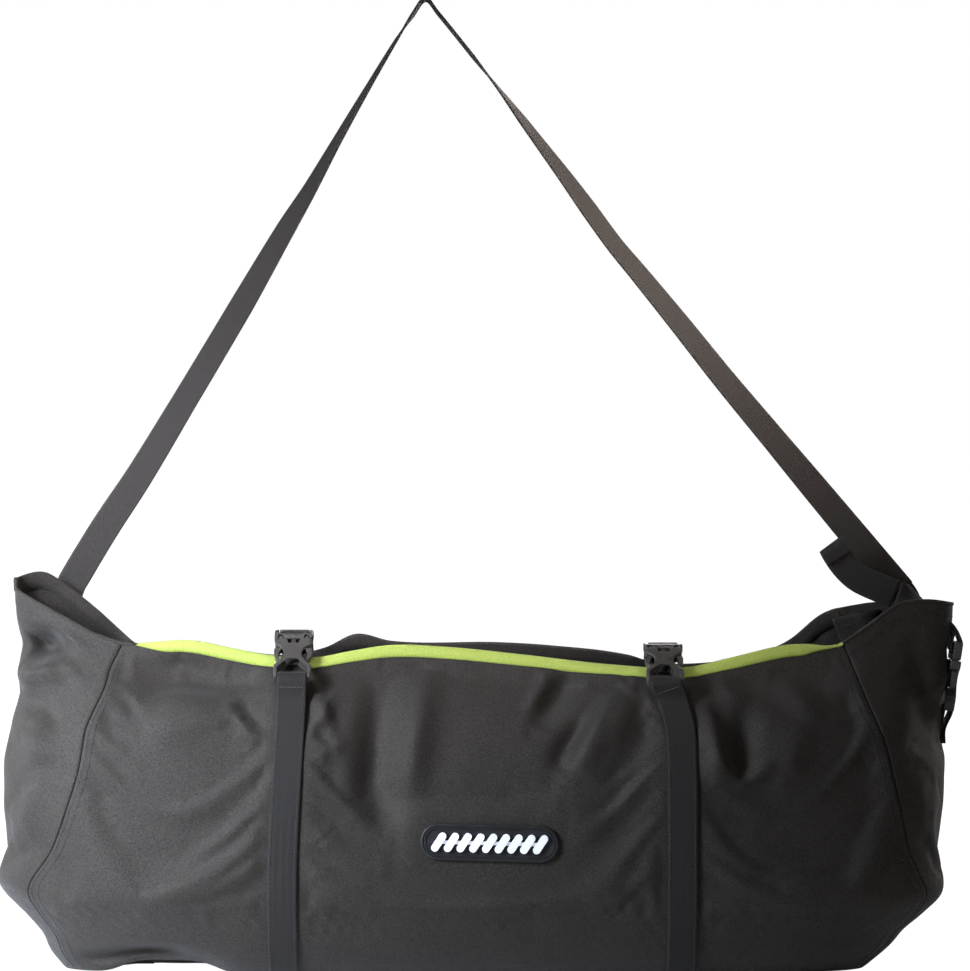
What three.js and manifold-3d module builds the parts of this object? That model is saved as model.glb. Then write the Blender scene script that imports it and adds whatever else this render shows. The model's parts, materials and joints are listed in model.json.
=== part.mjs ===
// A rope storage bag: an open-topped, boat-shaped fabric bag whose mouth is drawn together by two
// webbing straps with side-release buckles, carried on one adjustable shoulder strap.
//
// Frame: millimetres, +Z up, +X along the bag, the front (with the badge) faces -Y. The origin is on
// the floor, under the middle of the bag.

import * as THREE from "three";
import { mergeVertices } from "three/addons/utils/BufferGeometryUtils.js";
import Module from "manifold-3d";

const wasm = await Module();
wasm.setup();

// ---------------------------------------------------------------- driving dimensions

const FABRIC = 1.5; // panel thickness
const SEAM_GAP = 0.6; // between panels that are sewn together
const CLEAR = 0.4; // between pieces that lie against each other
const STRAP_CLEAR = 0.9; // between a strap and the curved fabric that it lies on
const WEBBING = 1.6; // webbing thickness
const BAND_WIDTH = 20; // closing straps, and the strap that adjusts the shoulder strap
const CARRY_WIDTH = 21; // shoulder strap
const LOOP_WIDTH = 15; // tie-in loops
const BINDING_HEIGHT = 9; // tape along the mouth
const FLOOR_GAP = WEBBING + 2 * CLEAR; // the straps run under the bottom panel

// Half length of the bag against height, at each end, and half depth against height.
const LEFT_LENGTH = [[0, 282], [27, 305], [62, 333], [118, 331], [191, 327], [230, 321], [280, 325]];
const RIGHT_LENGTH = [
  [0, 262], [12, 276], [30, 301], [55, 323], [120, 322], [177, 322], [223, 329], [280, 334],
];
const HALF_DEPTH = [
  [0, 48], [10, 62], [35, 76], [80, 82], [130, 80], [170, 71], [195, 57], [216, 40], [240, 34], [280, 33],
];
const ROUNDNESS = 3; // exponent of the superellipse that each level follows

// Where the end seams run, as a share of the half length, against the share of the height.
const SEAM_SHARE = [[0, 0.965], [0.2, 0.96], [0.55, 0.89], [0.7, 0.845], [1, 0.765]];

// Height of the rim against X, along the front and along the back. The ends stand up as ears.
const FRONT_RIM = [
  [-330, 270], [-303, 255], [-283, 244], [-262, 233], [-249, 229], [-198, 230], [-171, 225], [-143, 220],
  [-110, 219], [-88, 223], [-60, 227], [-19, 225.5], [36, 220], [91, 214], [146, 212], [174, 218],
  [215, 227], [229, 227.5], [249, 227], [267, 237], [285, 253], [309, 258], [335, 255],
];
const BACK_RIM = [
  [-330, 270], [-303, 276], [-288, 266], [-262, 243], [-249, 229], [-180, 222], [-140, 217], [-110, 222],
  [-87, 232], [-62, 227], [15, 226], [49, 224], [108, 217], [125, 212], [160, 211], [200, 218], [222, 228],
  [243, 246], [261, 252], [309, 256], [335, 255],
];

// The closing straps: their X at the floor and at the buckle.
const BANDS = { left: { low: -132.5, high: -127 }, right: { low: 139, high: 128 } };

// Buckles: Y and Z of the female's webbing bar, how many degrees the buckle leans from vertical, and
// the strap's way on over the mouth, from the back rim to the buckle, as Y and Z.
const FRONT_BUCKLES = {
  left: { bar: [-58.5, 206.8], lean: 45, over: [[43.5, 217], [36, 223.8], [24, 228.4], [8, 231.4], [-6, 232.4]] },
  right: { bar: [-61.2, 204.3], lean: 55, over: [[44.5, 215], [37.5, 219.4], [26, 221.8], [10, 222.4], [-5, 222.6]] },
};
const FRONT_SLOPE = THREE.MathUtils.degToRad(30); // how far the male's bars slope down from the rest of it
const END_BAR = new THREE.Vector3(328, 0, 183);
const END_LEAN = THREE.MathUtils.degToRad(8.7);
const END_SLOPE = 0;

// The shoulder strap: its two ends, where it folds over the rim, and the point that it hangs from.
const CARRY_LEFT = new THREE.Vector3(-284, 30, 275);
const CARRY_RIGHT = new THREE.Vector3(297, 6, 263);
const CARRY_TOP = new THREE.Vector3(-37, 16, 681);

// The badge on the front: its middle, length, height and thickness.
const BADGE = { x: 8, z: 96, length: 94, height: 25, thickness: 2 };

// ---------------------------------------------------------------- helpers

const MATERIALS = {
  fabric: new THREE.MeshStandardMaterial({ color: 0x2b2b30, roughness: 0.72, metalness: 0 }),
  webbing: new THREE.MeshStandardMaterial({ color: 0x232426, roughness: 0.8, metalness: 0 }),
  lime: new THREE.MeshStandardMaterial({ color: 0xb4d935, roughness: 0.75, metalness: 0 }),
  plastic: new THREE.MeshStandardMaterial({ color: 0x3a3a3a, roughness: 0.38, metalness: 0 }),
  rubber: new THREE.MeshStandardMaterial({ color: 0x1d1d1e, roughness: 0.55, metalness: 0 }),
  print: new THREE.MeshStandardMaterial({ color: 0xf4f4f2, roughness: 0.5, metalness: 0 }),
};

const bag = new THREE.Group();

function add(name, geometry, material) {
  const mesh = new THREE.Mesh(geometry, MATERIALS[material]);
  mesh.name = name;
  bag.add(mesh);
  return mesh;
}

// A function of one number that passes smoothly through a table of [number, value] pairs.
function through(table) {
  const xs = new Float32Array(table.map((row) => row[0]));
  const curve = new THREE.CubicInterpolant(xs, new Float32Array(table.map((row) => row[1])), 1, [0]);
  return (x) => curve.evaluate(THREE.MathUtils.clamp(x, xs[0], xs.at(-1) - 1e-4))[0];
}

function solidOf(geometry) {
  const bare = geometry.clone();
  bare.deleteAttribute("normal");
  bare.deleteAttribute("uv");
  const merged = mergeVertices(bare, 1e-4);
  return new wasm.Manifold(new wasm.Mesh({
    numProp: 3,
    vertProperties: new Float32Array(merged.attributes.position.array),
    triVerts: new Uint32Array(merged.index.array),
  }));
}

function geometryOf(solid) {
  const mesh = solid.getMesh();
  const geometry = new THREE.BufferGeometry();
  geometry.setAttribute("position", new THREE.BufferAttribute(new Float32Array(mesh.vertProperties), 3));
  geometry.setIndex(new THREE.BufferAttribute(new Uint32Array(mesh.triVerts), 1));
  geometry.computeVertexNormals();
  return geometry;
}

// The first geometry with the others cut away.
function cut(geometry, ...others) {
  return geometryOf(others.reduce((solid, other) => solid.subtract(solidOf(other)), solidOf(geometry)));
}

function join(...geometries) {
  return geometryOf(geometries.map(solidOf).reduce((all, next) => all.add(next)));
}

// A closed solid of even thickness under a curved surface: at(s, v) gives the outer point, for s and v
// from 0 to 1, and the thickness goes inwards.
function sheet(at, sSteps, vSteps, thickness) {
  const outward = (s, v) => {
    const d = 1e-3;
    const alongS = at(Math.min(s + d, 1), v).sub(at(Math.max(s - d, 0), v));
    const alongV = at(s, Math.min(v + d, 1)).sub(at(s, Math.max(v - d, 0)));
    return alongS.cross(alongV).normalize();
  };
  const points = [];
  for (const depth of [0, thickness]) {
    for (let j = 0; j <= vSteps; j++) {
      for (let i = 0; i <= sSteps; i++) {
        const [s, v] = [i / sSteps, j / vSteps];
        points.push(at(s, v).addScaledVector(outward(s, v), -depth));
      }
    }
  }
  const row = sSteps + 1;
  const layer = row * (vSteps + 1);
  const faces = [];
  const quad = (a, b, c, d) => faces.push(a, b, c, a, c, d);
  for (let j = 0; j < vSteps; j++) {
    for (let i = 0; i < sSteps; i++) {
      const a = j * row + i;
      quad(a, a + 1, a + 1 + row, a + row);
      quad(layer + a, layer + a + row, layer + a + 1 + row, layer + a + 1);
    }
  }
  for (let i = 0; i < sSteps; i++) {
    const top = vSteps * row + i;
    quad(i, layer + i, layer + i + 1, i + 1);
    quad(top, top + 1, layer + top + 1, layer + top);
  }
  for (let j = 0; j < vSteps; j++) {
    const left = j * row;
    const right = left + sSteps;
    quad(left, left + row, layer + left + row, layer + left);
    quad(right, layer + right, layer + right + row, right + row);
  }
  const geometry = new THREE.BufferGeometry().setFromPoints(points);
  geometry.setIndex(faces);
  geometry.computeVertexNormals();
  return geometry;
}

// A strap of webbing along a smooth line. Each stop is [point, direction across the strap].
function strap(stops, width, stepsPerStop) {
  const steps = stepsPerStop * (stops.length - 1);
  const line = new THREE.CatmullRomCurve3(stops.map((stop) => stop[0]), false, "centripetal");
  const points = [];
  for (let i = 0; i <= steps; i++) {
    const t = i / steps;
    const at = t * (stops.length - 1);
    const k = Math.min(Math.floor(at), stops.length - 2);
    const tangent = line.getTangent(t);
    const across = stops[k][1].clone().lerp(stops[k + 1][1], at - k);
    across.addScaledVector(tangent, -across.dot(tangent)).normalize();
    const out = tangent.clone().cross(across);
    for (const [w, n] of [[-1, -1], [1, -1], [1, 1], [-1, 1]]) {
      points.push(line.getPoint(t)
        .addScaledVector(across, (w * width) / 2)
        .addScaledVector(out, (n * WEBBING) / 2));
    }
  }
  const faces = [0, 3, 2, 0, 2, 1];
  for (let i = 0; i < steps; i++) {
    for (let k = 0; k < 4; k++) {
      const [a, b] = [i * 4 + k, i * 4 + ((k + 1) % 4)];
      faces.push(a, b, b + 4, a, b + 4, a + 4);
    }
  }
  const end = steps * 4;
  faces.push(end, end + 1, end + 2, end, end + 2, end + 3);
  const geometry = new THREE.BufferGeometry().setFromPoints(points);
  geometry.setIndex(faces);
  geometry.computeVertexNormals();
  return geometry;
}

function polygon(points) {
  return new THREE.Shape(points.map(([x, y]) => new THREE.Vector2(x, y)));
}

// A plate of the shape's outline, centred on Z = 0, with rounded edges.
function plate(shape, thickness, bevel = 0) {
  const geometry = new THREE.ExtrudeGeometry(shape, {
    depth: thickness - 2 * bevel,
    bevelEnabled: bevel > 0,
    bevelThickness: bevel,
    bevelSize: bevel,
    bevelOffset: -bevel,
    bevelSegments: 2,
    curveSegments: 6,
  });
  return geometry.translate(0, 0, bevel - thickness / 2);
}

function block(x0, x1, y0, y1, z0, z1) {
  return new THREE.BoxGeometry(x1 - x0, y1 - y0, z1 - z0)
    .translate((x0 + x1) / 2, (y0 + y1) / 2, (z0 + z1) / 2);
}

function mirrored(points) {
  return [...points, ...points.map(([x, y]) => [-x, y]).reverse()];
}

// ---------------------------------------------------------------- the bag's shape

const leftLength = through(LEFT_LENGTH);
const rightLength = through(RIGHT_LENGTH);
const halfDepth = through(HALF_DEPTH);
const seamShare = through(SEAM_SHARE);
const frontRim = through(FRONT_RIM);
const backRim = through(BACK_RIM);

// The point of the wall at a share c of the half length (-1 to 1), on the front (side -1) or the back
// (side 1), at height share v. topShare is c where the same thread meets the rim.
function wallPoint(c, topShare, side, v) {
  const length = c < 0 ? leftLength : rightLength;
  const rim = (side < 0 ? frontRim : backRim)(topShare * length(250));
  const z = FLOOR_GAP + (rim - FLOOR_GAP) * v;
  const depth = (1 - Math.abs(c) ** ROUNDNESS) ** (1 / ROUNDNESS);
  return new THREE.Vector3(c * length(z), side * depth * halfDepth(z), z);
}

// A long wall, front (side -1) or back (side 1), between the end seams and between two height shares.
function longWall(side, low, high) {
  const reach = 1 - SEAM_GAP / 500;
  return (s, v) => {
    const share = (side < 0 ? 2 * s - 1 : 1 - 2 * s) * reach;
    const height = low + (high - low) * v;
    return wallPoint(share * seamShare(height), share * seamShare(1), side, height);
  };
}

// An end wall, from the back seam round the end to the front seam, at the left (end -1) or right (end 1).
function endWall(end) {
  const depthAt = (v) => (1 - seamShare(v) ** ROUNDNESS) ** (1 / ROUNDNESS);
  const shareAt = (depth) => (1 - Math.abs(depth) ** ROUNDNESS) ** (1 / ROUNDNESS);
  const reach = 1 - SEAM_GAP / 50;
  return (s, v) => {
    const turn = (end < 0 ? 1 - 2 * s : 2 * s - 1) * reach;
    const side = turn < 0 ? -1 : 1;
    return wallPoint(end * shareAt(turn * depthAt(v)), end * shareAt(turn * depthAt(1)), side, v);
  };
}

// A stop for a strap that lies on the outside of the bag, on the front (side -1) or the back (side 1),
// at a given X and height, lifted off the fabric by some more layers if need be.
function onWall(x, z, side, layers = 0) {
  const depth = (x0, z0) => {
    const share = Math.abs(x0 / (x0 < 0 ? leftLength : rightLength)(z0));
    return side * (1 - share ** ROUNDNESS) ** (1 / ROUNDNESS) * halfDepth(z0);
  };
  const slopeX = depth(x + 0.5, z) - depth(x - 0.5, z);
  const slopeZ = depth(x, z + 0.5) - depth(x, z - 0.5);
  const out = new THREE.Vector3(-slopeX, 1, -slopeZ).normalize().multiplyScalar(side);
  const lift = STRAP_CLEAR + WEBBING / 2 + layers;
  const point = new THREE.Vector3(x, depth(x, z), z).addScaledVector(out, lift);
  return [point, new THREE.Vector3(1, slopeX, 0).normalize()];
}

// The gap between the walls and the tape above them, as a share of the height.
const BINDING_SHARE = 1 - BINDING_HEIGHT / 216;
const BINDING_GAP = SEAM_GAP / 216;

function addPanels() {
  const wallTop = BINDING_SHARE - BINDING_GAP;
  add("front_panel", sheet(longWall(-1, 0, wallTop), 32, 12, FABRIC), "fabric");
  add("back_panel", sheet(longWall(1, 0, wallTop), 32, 12, FABRIC), "fabric");
  add("front_mouth_binding", sheet(longWall(-1, BINDING_SHARE, 1), 32, 1, FABRIC), "lime");
  add("back_mouth_binding", sheet(longWall(1, BINDING_SHARE, 1), 32, 1, FABRIC), "fabric");
  add("left_end_panel", sheet(endWall(-1), 16, 14, FABRIC), "fabric");
  add("right_end_panel", cut(sheet(endWall(1), 16, 14, FABRIC), adjusterSlot()), "fabric");
  add("bottom_panel", bottomPlate(), "fabric");
}

// The floor of the bag, inside the lower edges of the walls.
function bottomPlate() {
  const inset = FABRIC + SEAM_GAP;
  const outline = [];
  const steps = 64;
  for (let i = 0; i < steps; i++) {
    const a = (i / steps) * 2 * Math.PI;
    const [c, s] = [Math.cos(a), Math.sin(a)];
    const round = (value) => Math.sign(value) * Math.abs(value) ** (2 / ROUNDNESS);
    const length = (c < 0 ? leftLength : rightLength)(FLOOR_GAP) - inset;
    outline.push([round(c) * length, round(s) * (halfDepth(FLOOR_GAP) - inset)]);
  }
  return plate(polygon(outline), FABRIC).translate(0, 0, FLOOR_GAP + FABRIC / 2);
}

// ---------------------------------------------------------------- side-release buckles

// A buckle lies in its own frame: X across, Y along the way it pulls apart (from the female's webbing
// bar at 0 to the male's end bar), Z out of its face.
const BUCKLE = {
  thickness: 7.4,
  barHalf: 1.4, // half the thickness of the female's bar
  barEdge: 0.9, // its edge towards the window
  slotHalf: 10.6, // half the width of every webbing slot
  mouth: 33, // the female's open end
  catchAt: 26, // lower edge of the side walls that the prongs catch on
  cavityHalf: 10.5,
  cavityDepth: 4.6,
  cavityStart: 13,
  maleStart: 33.5,
  maleEnd: 46.3,
  maleThickness: 6,
  ladderStart: 36.4, // where the slope of the male's bars begins
  pivot: [9, 35], // where each prong bends
  bossRadius: 1.15,
  pocketRadius: 2.1,
  prongThickness: 4,
};

// An upright pin through a buckle's thickness.
function pin(x, y, radius, length) {
  return new THREE.CylinderGeometry(radius, radius, length, 16).rotateX(Math.PI / 2).translate(x, y, 0);
}

function buckleFemale() {
  const half = BUCKLE.slotHalf;
  const deep = BUCKLE.cavityDepth / 2;
  const tall = BUCKLE.thickness;
  const body = plate(polygon(mirrored([
    [12.2, -2.2], [13, 4], [12.8, 8.4], [9.6, 12.2], [7.2, 15.6], [6.3, 19.5], [7, 23], [9, 25.4],
    [12, 27.4], [12.6, 29.5], [12.6, BUCKLE.mouth],
  ])), tall, 0.8);
  const window = plate(polygon(mirrored([[half, BUCKLE.barEdge], [half, 6.4], [9.4, 8], [3.4, 14.2]])), 3 * tall);
  const notch = plate(polygon(mirrored([[3.6, 28.6], [5.2, 34]])), 3 * tall);
  const throat = block(-BUCKLE.cavityHalf, BUCKLE.cavityHalf, BUCKLE.cavityStart, 40, -deep, deep);
  const sides = block(-20, 20, BUCKLE.cavityStart, BUCKLE.catchAt, -deep, deep);
  const overBar = block(-half, half, -4, BUCKLE.barEdge + 0.2, BUCKLE.barHalf, tall);
  const underBar = block(-half, half, -4, BUCKLE.barEdge + 0.2, -tall, -BUCKLE.barHalf);
  return cut(body, window, notch, throat, sides, overBar, underBar);
}

// The ladder of bars at the male's end, sloped down from the rest of the buckle.
function sloped(geometry, slope) {
  return geometry.translate(0, -BUCKLE.ladderStart, 0)
    .rotateX(-slope)
    .translate(0, BUCKLE.ladderStart, 0);
}

function buckleMale(slope) {
  const half = BUCKLE.slotHalf;
  const start = BUCKLE.maleStart;
  const head = plate(polygon(mirrored([
    [11.8, start], [13.2, start + 1.4], [13.3, BUCKLE.ladderStart + 0.6],
  ])), BUCKLE.maleThickness, 0.7);
  const ladder = plate(polygon(mirrored([
    [13.3, BUCKLE.ladderStart - 1.4], [13.4, 44.3], [12.2, BUCKLE.maleEnd],
  ])), BUCKLE.maleThickness, 0.7);
  const guide = plate(polygon(mirrored([[1.6, start + 1], [1.3, 17], [0.6, 15.6]])), 3.6, 0.4);
  const slots = [[37.7, 40.4], [42.2, 44.3]].map(([low, high]) => block(-half, half, low, high, -5, 5));
  const overBars = block(-half, half, 39, 48, 0.8, 5);
  const underMiddleBar = block(-half, half, 39, 43, -5, -0.9);
  const bars = sloped(cut(ladder, ...slots, overBars, underMiddleBar), slope);
  const slotMouth = sloped(block(-half, half, 37.7, 40.4, -5, 5), slope);
  const [x, y] = BUCKLE.pivot;
  const pockets = [-x, x].map((at) => join(
    pin(at, y, BUCKLE.pocketRadius, 20),
    block(at - 2.1, at + 2.1, start - 1, y, -10, 10),
  ));
  return cut(join(head, bars, guide), slotMouth, ...pockets);
}

// One springy arm of the male, at the left (side -1) or right (side 1).
function buckleProng(side) {
  const [x, y] = BUCKLE.pivot;
  const arm = [
    [7.8, y], [7.9, 24.6], [9.3, 22.2], [9.9, 18.8], [9, 15.6], [8.2, 14.2], [9, 13.4], [10.4, 13.8],
    [12.2, 16.8], [13.1, 20.4], [13.2, 23.6], [12.7, 25.5], [10.1, 25.6], [10.1, y],
  ];
  const points = arm.map(([px, py]) => [side * px, py]);
  const outline = polygon(side < 0 ? points.reverse() : points);
  return join(
    plate(outline, BUCKLE.prongThickness, 0.4),
    pin(side * x, y, BUCKLE.bossRadius, BUCKLE.prongThickness),
  );
}

// From a front buckle's own frame to the bag's.
function frontFrame(name) {
  const { bar, lean } = FRONT_BUCKLES[name];
  return new THREE.Matrix4().makeTranslation(BANDS[name].high, ...bar)
    .multiply(new THREE.Matrix4().makeRotationX(THREE.MathUtils.degToRad(90 - lean)));
}

// From the end buckle's own frame to the bag's: it stands on the right end wall.
function endFrame() {
  const along = new THREE.Vector3(Math.sin(END_LEAN), 0, Math.cos(END_LEAN));
  const out = new THREE.Vector3(Math.cos(END_LEAN), 0, -Math.sin(END_LEAN));
  return new THREE.Matrix4().makeBasis(new THREE.Vector3(0, 1, 0), along, out)
    .setPosition(END_BAR.x, END_BAR.y, END_BAR.z);
}

function addBuckle(name, frame, slope) {
  add(`${name}_buckle_female`, buckleFemale().applyMatrix4(frame), "plastic");
  add(`${name}_buckle_male`, buckleMale(slope).applyMatrix4(frame), "plastic");
  add(`${name}_buckle_left_prong`, buckleProng(-1).applyMatrix4(frame), "plastic");
  add(`${name}_buckle_right_prong`, buckleProng(1).applyMatrix4(frame), "plastic");
}

// Stops of a strap in a buckle's plane: [along the buckle, out of its face].
function inBuckle(frame, pairs) {
  return pairs.map(([u, t]) => new THREE.Vector3(0, u, t).applyMatrix4(frame));
}

const ROUND_BAR = BUCKLE.barHalf + 0.4 + WEBBING / 2;

// The webbing's way round the female's bar, from the underside to the face.
const AROUND_BAR = [
  [-3.4, -ROUND_BAR - 0.2], [-0.5, -ROUND_BAR], [2.1, -0.8 * ROUND_BAR], [3, 0],
  [2.1, 0.8 * ROUND_BAR], [-0.5, ROUND_BAR], [-3.4, ROUND_BAR + 0.1],
];

// Its way up into the male's inner slot, and its way on over the two bars.
const INTO_LOCK = [[47.4, -4.4], [42.3, -4.2], [40.3, -3.7], [39.15, -2.4]];
const THROUGH_LOCK = [[39.05, -1.5], [39.05, 0.3], [39.7, 1.8], [41.3, 2.4], [43.7, 2.4], [46.1, 2.2]];

function inLock(frame, slope, pairs) {
  const [c, s] = [Math.cos(slope), Math.sin(slope)];
  const start = BUCKLE.ladderStart;
  return inBuckle(frame, pairs.map(([u, t]) => [start + (u - start) * c + t * s, t * c - (u - start) * s]));
}

// ---------------------------------------------------------------- closing straps

const ALONG_X = new THREE.Vector3(1, 0, 0);
const ALONG_Y = new THREE.Vector3(0, 1, 0);
const DOUBLED = WEBBING + 0.4; // from the middle of one layer of webbing to the next

function crossing(points, across) {
  return points.map((point) => [point, across]);
}

function at(x, y, z) {
  return new THREE.Vector3(x, y, z);
}

// The band sewn round the bag: over the female's bar, down the front, under the bottom, up the back.
function addBand(name) {
  const { low, high } = BANDS[name];
  const xAt = (z) => THREE.MathUtils.lerp(low, high, THREE.MathUtils.smoothstep(z, 60, 205));
  const on = (z, side, layers = 0) => onWall(xAt(z), z, side, layers);
  const heights = [10, 20, 35, 55, 80, 110, 135, 158];
  const underneath = (y) => at(low, y, WEBBING / 2 + (Math.abs(y) > 40 ? 0.15 : 0));
  const stops = [
    on(181, -1),
    on(188, -1, 0.2),
    ...crossing(inBuckle(frontFrame(name), AROUND_BAR), ALONG_X),
    on(188, -1, DOUBLED + 0.7),
    on(181, -1, DOUBLED),
    on(173, -1, 0.9),
    ...heights.toReversed().map((z) => on(z, -1)),
    on(2.8, -1),
    ...crossing([-42, -32, -12, 12, 32, 42].map(underneath), ALONG_X),
    on(2.8, 1),
    ...heights.map((z) => on(z, 1)),
    on(180, 1),
    on(196, 1),
  ];
  add(`${name}_webbing_band`, strap(stops, BAND_WIDTH, 2), "webbing");
}

// The strap over the mouth, from the band on the back to the male's inner slot.
function addTopStrap(name) {
  const x = BANDS[name].high;
  const over = FRONT_BUCKLES[name].over.map(([y, z]) => at(x, y, z));
  const stops = [
    onWall(x, 196.9, 1),
    onWall(x, 203, 1, 0.3),
    ...crossing([...over, ...inLock(frontFrame(name), FRONT_SLOPE, INTO_LOCK)], ALONG_X),
  ];
  add(`${name}_top_strap`, strap(stops, BAND_WIDTH, 2), "webbing");
}

// The rest of that webbing: over the male's bars, and a free tail that lies on the strap.
function addStrapTail(name) {
  const x = BANDS[name].high;
  const lift = 2.3; // from the middle of the strap to the middle of the tail on it
  const lying = FRONT_BUCKLES[name].over.toReversed().map(([y, z]) => at(x, y + lift * 0.3, z + lift));
  const hanging = at(x, lying.at(-1).y + 8, lying.at(-1).z - 9);
  const stops = crossing([...inLock(frontFrame(name), FRONT_SLOPE, THROUGH_LOCK), ...lying, hanging], ALONG_X);
  add(`${name}_strap_tail`, strap(stops, BAND_WIDTH, 2), "webbing");
}

// ---------------------------------------------------------------- shoulder strap

// The slot in the right end wall that the adjuster strap leaves the bag by.
function adjusterSlot() {
  return block(310, 345, -12, 12, 233, 248);
}

// The way across the strap where it faces the front: square to its run from one point to another.
function facingFront(from, to) {
  return to.clone().sub(from).cross(ALONG_Y).normalize();
}

// Both legs, from the rim of the left ear, over the hanging point, to the rim of the right ear.
function addShoulderStrap() {
  const bend = 9; // half the width of the fold over the hanging point
  const left = facingFront(CARRY_LEFT, CARRY_TOP);
  const right = facingFront(CARRY_TOP, CARRY_RIGHT);
  const onLeft = (share) => CARRY_LEFT.clone().lerp(CARRY_TOP, share);
  const knee = at(90, 13, 512);
  const onUpper = (share) => CARRY_TOP.clone().lerp(knee, share);
  const onRight = (share) => knee.clone().lerp(CARRY_RIGHT, share);
  const turned = (across, share) => across.clone().lerp(ALONG_Y, share).normalize();
  const stops = [
    [onLeft(0.002), left],
    [onLeft(0.08), turned(left, 0.12)],
    [onLeft(0.17).add(at(2, 0, 0)), turned(left, 0.26)],
    [onLeft(0.3).add(at(2, 0, 0)), turned(left, 0.36)],
    [onLeft(0.47).add(at(1.4, 0, 0)), turned(left, 0.4)],
    [onLeft(0.6), turned(left, 0.52)],
    [onLeft(0.67), turned(left, 0.63)],
    [onLeft(0.75).add(at(-1.4, 0, 0)), turned(left, 0.73)],
    [onLeft(0.85).add(at(-2.4, 0, 0)), turned(left, 0.82)],
    [onLeft(0.93).add(at(-2.6, 0, 0)), turned(left, 0.88)],
    [at(CARRY_TOP.x - bend, CARRY_TOP.y, CARRY_TOP.z - 12), ALONG_Y],
    [at(CARRY_TOP.x, CARRY_TOP.y, CARRY_TOP.z - WEBBING / 2), ALONG_Y],
    [at(CARRY_TOP.x + bend, CARRY_TOP.y, CARRY_TOP.z - 11), ALONG_Y],
    [onUpper(0.25).add(at(2.4, 0, 0)), ALONG_Y],
    [onUpper(0.39).add(at(3.4, 0, 0)), turned(right, 0.88)],
    [onUpper(0.51).add(at(3.6, 0, 0)), turned(right, 0.76)],
    [onUpper(0.63).add(at(3.6, 0, 0)), turned(right, 0.7)],
    [onUpper(0.75).add(at(3.6, 0, 0)), turned(right, 0.64)],
    [onUpper(0.88).add(at(3, 0, 0)), turned(right, 0.58)],
    [onRight(0.02).add(at(2, 0, 0)), turned(right, 0.57)],
    [onRight(0.1).add(at(2, 0, 0)), turned(right, 0.54)],
    [onRight(0.24).add(at(1.4, 0, 0)), turned(right, 0.49)],
    [onRight(0.4), turned(right, 0.44)],
    [onRight(0.57), turned(right, 0.38)],
    [onRight(0.73), turned(right, 0.28)],
    [onRight(0.9), turned(right, 0.15)],
    [onRight(0.998), right],
  ];
  add("shoulder_strap", strap(stops, CARRY_WIDTH, 2), "webbing");
}

// The strap's left end, sewn flat on the outside of the left ear.
function addLeftAnchor() {
  const left = facingFront(CARRY_LEFT, CARRY_TOP);
  const stops = [
    [CARRY_LEFT.clone().lerp(CARRY_TOP, -0.001), left.clone().negate()],
    [at(-288, 31, 268), at(0.9, -0.1, -0.42)],
    onWall(-290, 257, 1, 3.5),
    onWall(-289, 246, 1, 3),
    onWall(-288, 235, 1, 3),
    onWall(-287, 223, 1, 3),
    onWall(-286, 211, 1, 3),
  ];
  add("shoulder_strap_left_end", strap(stops, CARRY_WIDTH, 2), "webbing");
}

const TWISTED = new THREE.Vector3(0.6, 0.5, 0.5); // across the strap, halfway round its twist in the ear
const NEARLY_FLAT = new THREE.Vector3(0.15, 0.95, 0.15);

// The narrower webbing that the strap's right end is sewn to: down into the ear, out by the slot, and
// into the end buckle's lock.
function addAdjuster() {
  const right = facingFront(CARRY_TOP, CARRY_RIGHT);
  const stops = [
    [CARRY_RIGHT.clone().add(at(1, 0, -1.25)), right],
    [at(303.4, 4, 253.4), TWISTED],
    [at(311, 2, 245.6), NEARLY_FLAT],
    [at(320, 0, 241), ALONG_Y],
    [at(327, 0, 238.8), ALONG_Y],
    [at(331, 0, 236.4), ALONG_Y],
    ...crossing(inLock(endFrame(), END_SLOPE, [[51, -4], ...INTO_LOCK]), ALONG_Y),
  ];
  add("adjuster_strap", strap(stops, BAND_WIDTH, 2), "webbing");
}

// The free tail: from the lock back through the slot, up inside the ear, and out over the mouth to a
// folded end.
function addAdjusterTail() {
  const facing = at(0.6, 0, 0.8);
  const mouth = at(291, -7, 262);
  const leaving = at(-0.93, -0.07, 0.36);
  const run = [
    ...crossing(inLock(endFrame(), END_SLOPE, THROUGH_LOCK), ALONG_Y),
    [at(333.2, 0, 237.6), ALONG_Y],
    [at(329.5, 0, 241.9), ALONG_Y],
    [at(322, -1, 245.6), ALONG_Y],
    [at(313, -4, 253.6), NEARLY_FLAT],
    [mouth.clone().addScaledVector(leaving, -11), TWISTED],
    [mouth.clone().addScaledVector(leaving, -1.6), facing],
  ];
  add("adjuster_tail_run", strap(run, BAND_WIDTH, 2), "webbing");
  const tail = [
    [mouth, facing],
    [at(278, -8, 267), at(0.45, 0, 0.9)],
    [at(264, -9, 274), facing],
    [at(254, -10, 284), at(0.7, 0, 0.7)],
    [at(247, -11, 295), at(0.8, 0, 0.6)],
    [at(246, -12.6, 297), at(0.8, 0, 0.6)],
    [at(247, -14, 295), at(0.8, 0, 0.6)],
    [at(252, -13.2, 287), at(0.75, 0, 0.65)],
  ];
  add("adjuster_tail", strap(tail, BAND_WIDTH, 2), "webbing");
}

// The short loop that holds the end buckle's female on the wall.
function addEndAnchor() {
  const lift = STRAP_CLEAR + WEBBING / 2;
  const on = (z, layer = 0) => at(rightLength(z) + lift + layer, 0, z);
  const points = [
    on(160),
    on(170),
    ...inBuckle(endFrame(), AROUND_BAR),
    on(170, DOUBLED + 0.3),
    on(160, DOUBLED),
  ];
  add("end_buckle_anchor", strap(crossing(points, ALONG_Y), BAND_WIDTH, 2), "webbing");
}

// ---------------------------------------------------------------- badge and tie-in loops

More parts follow.
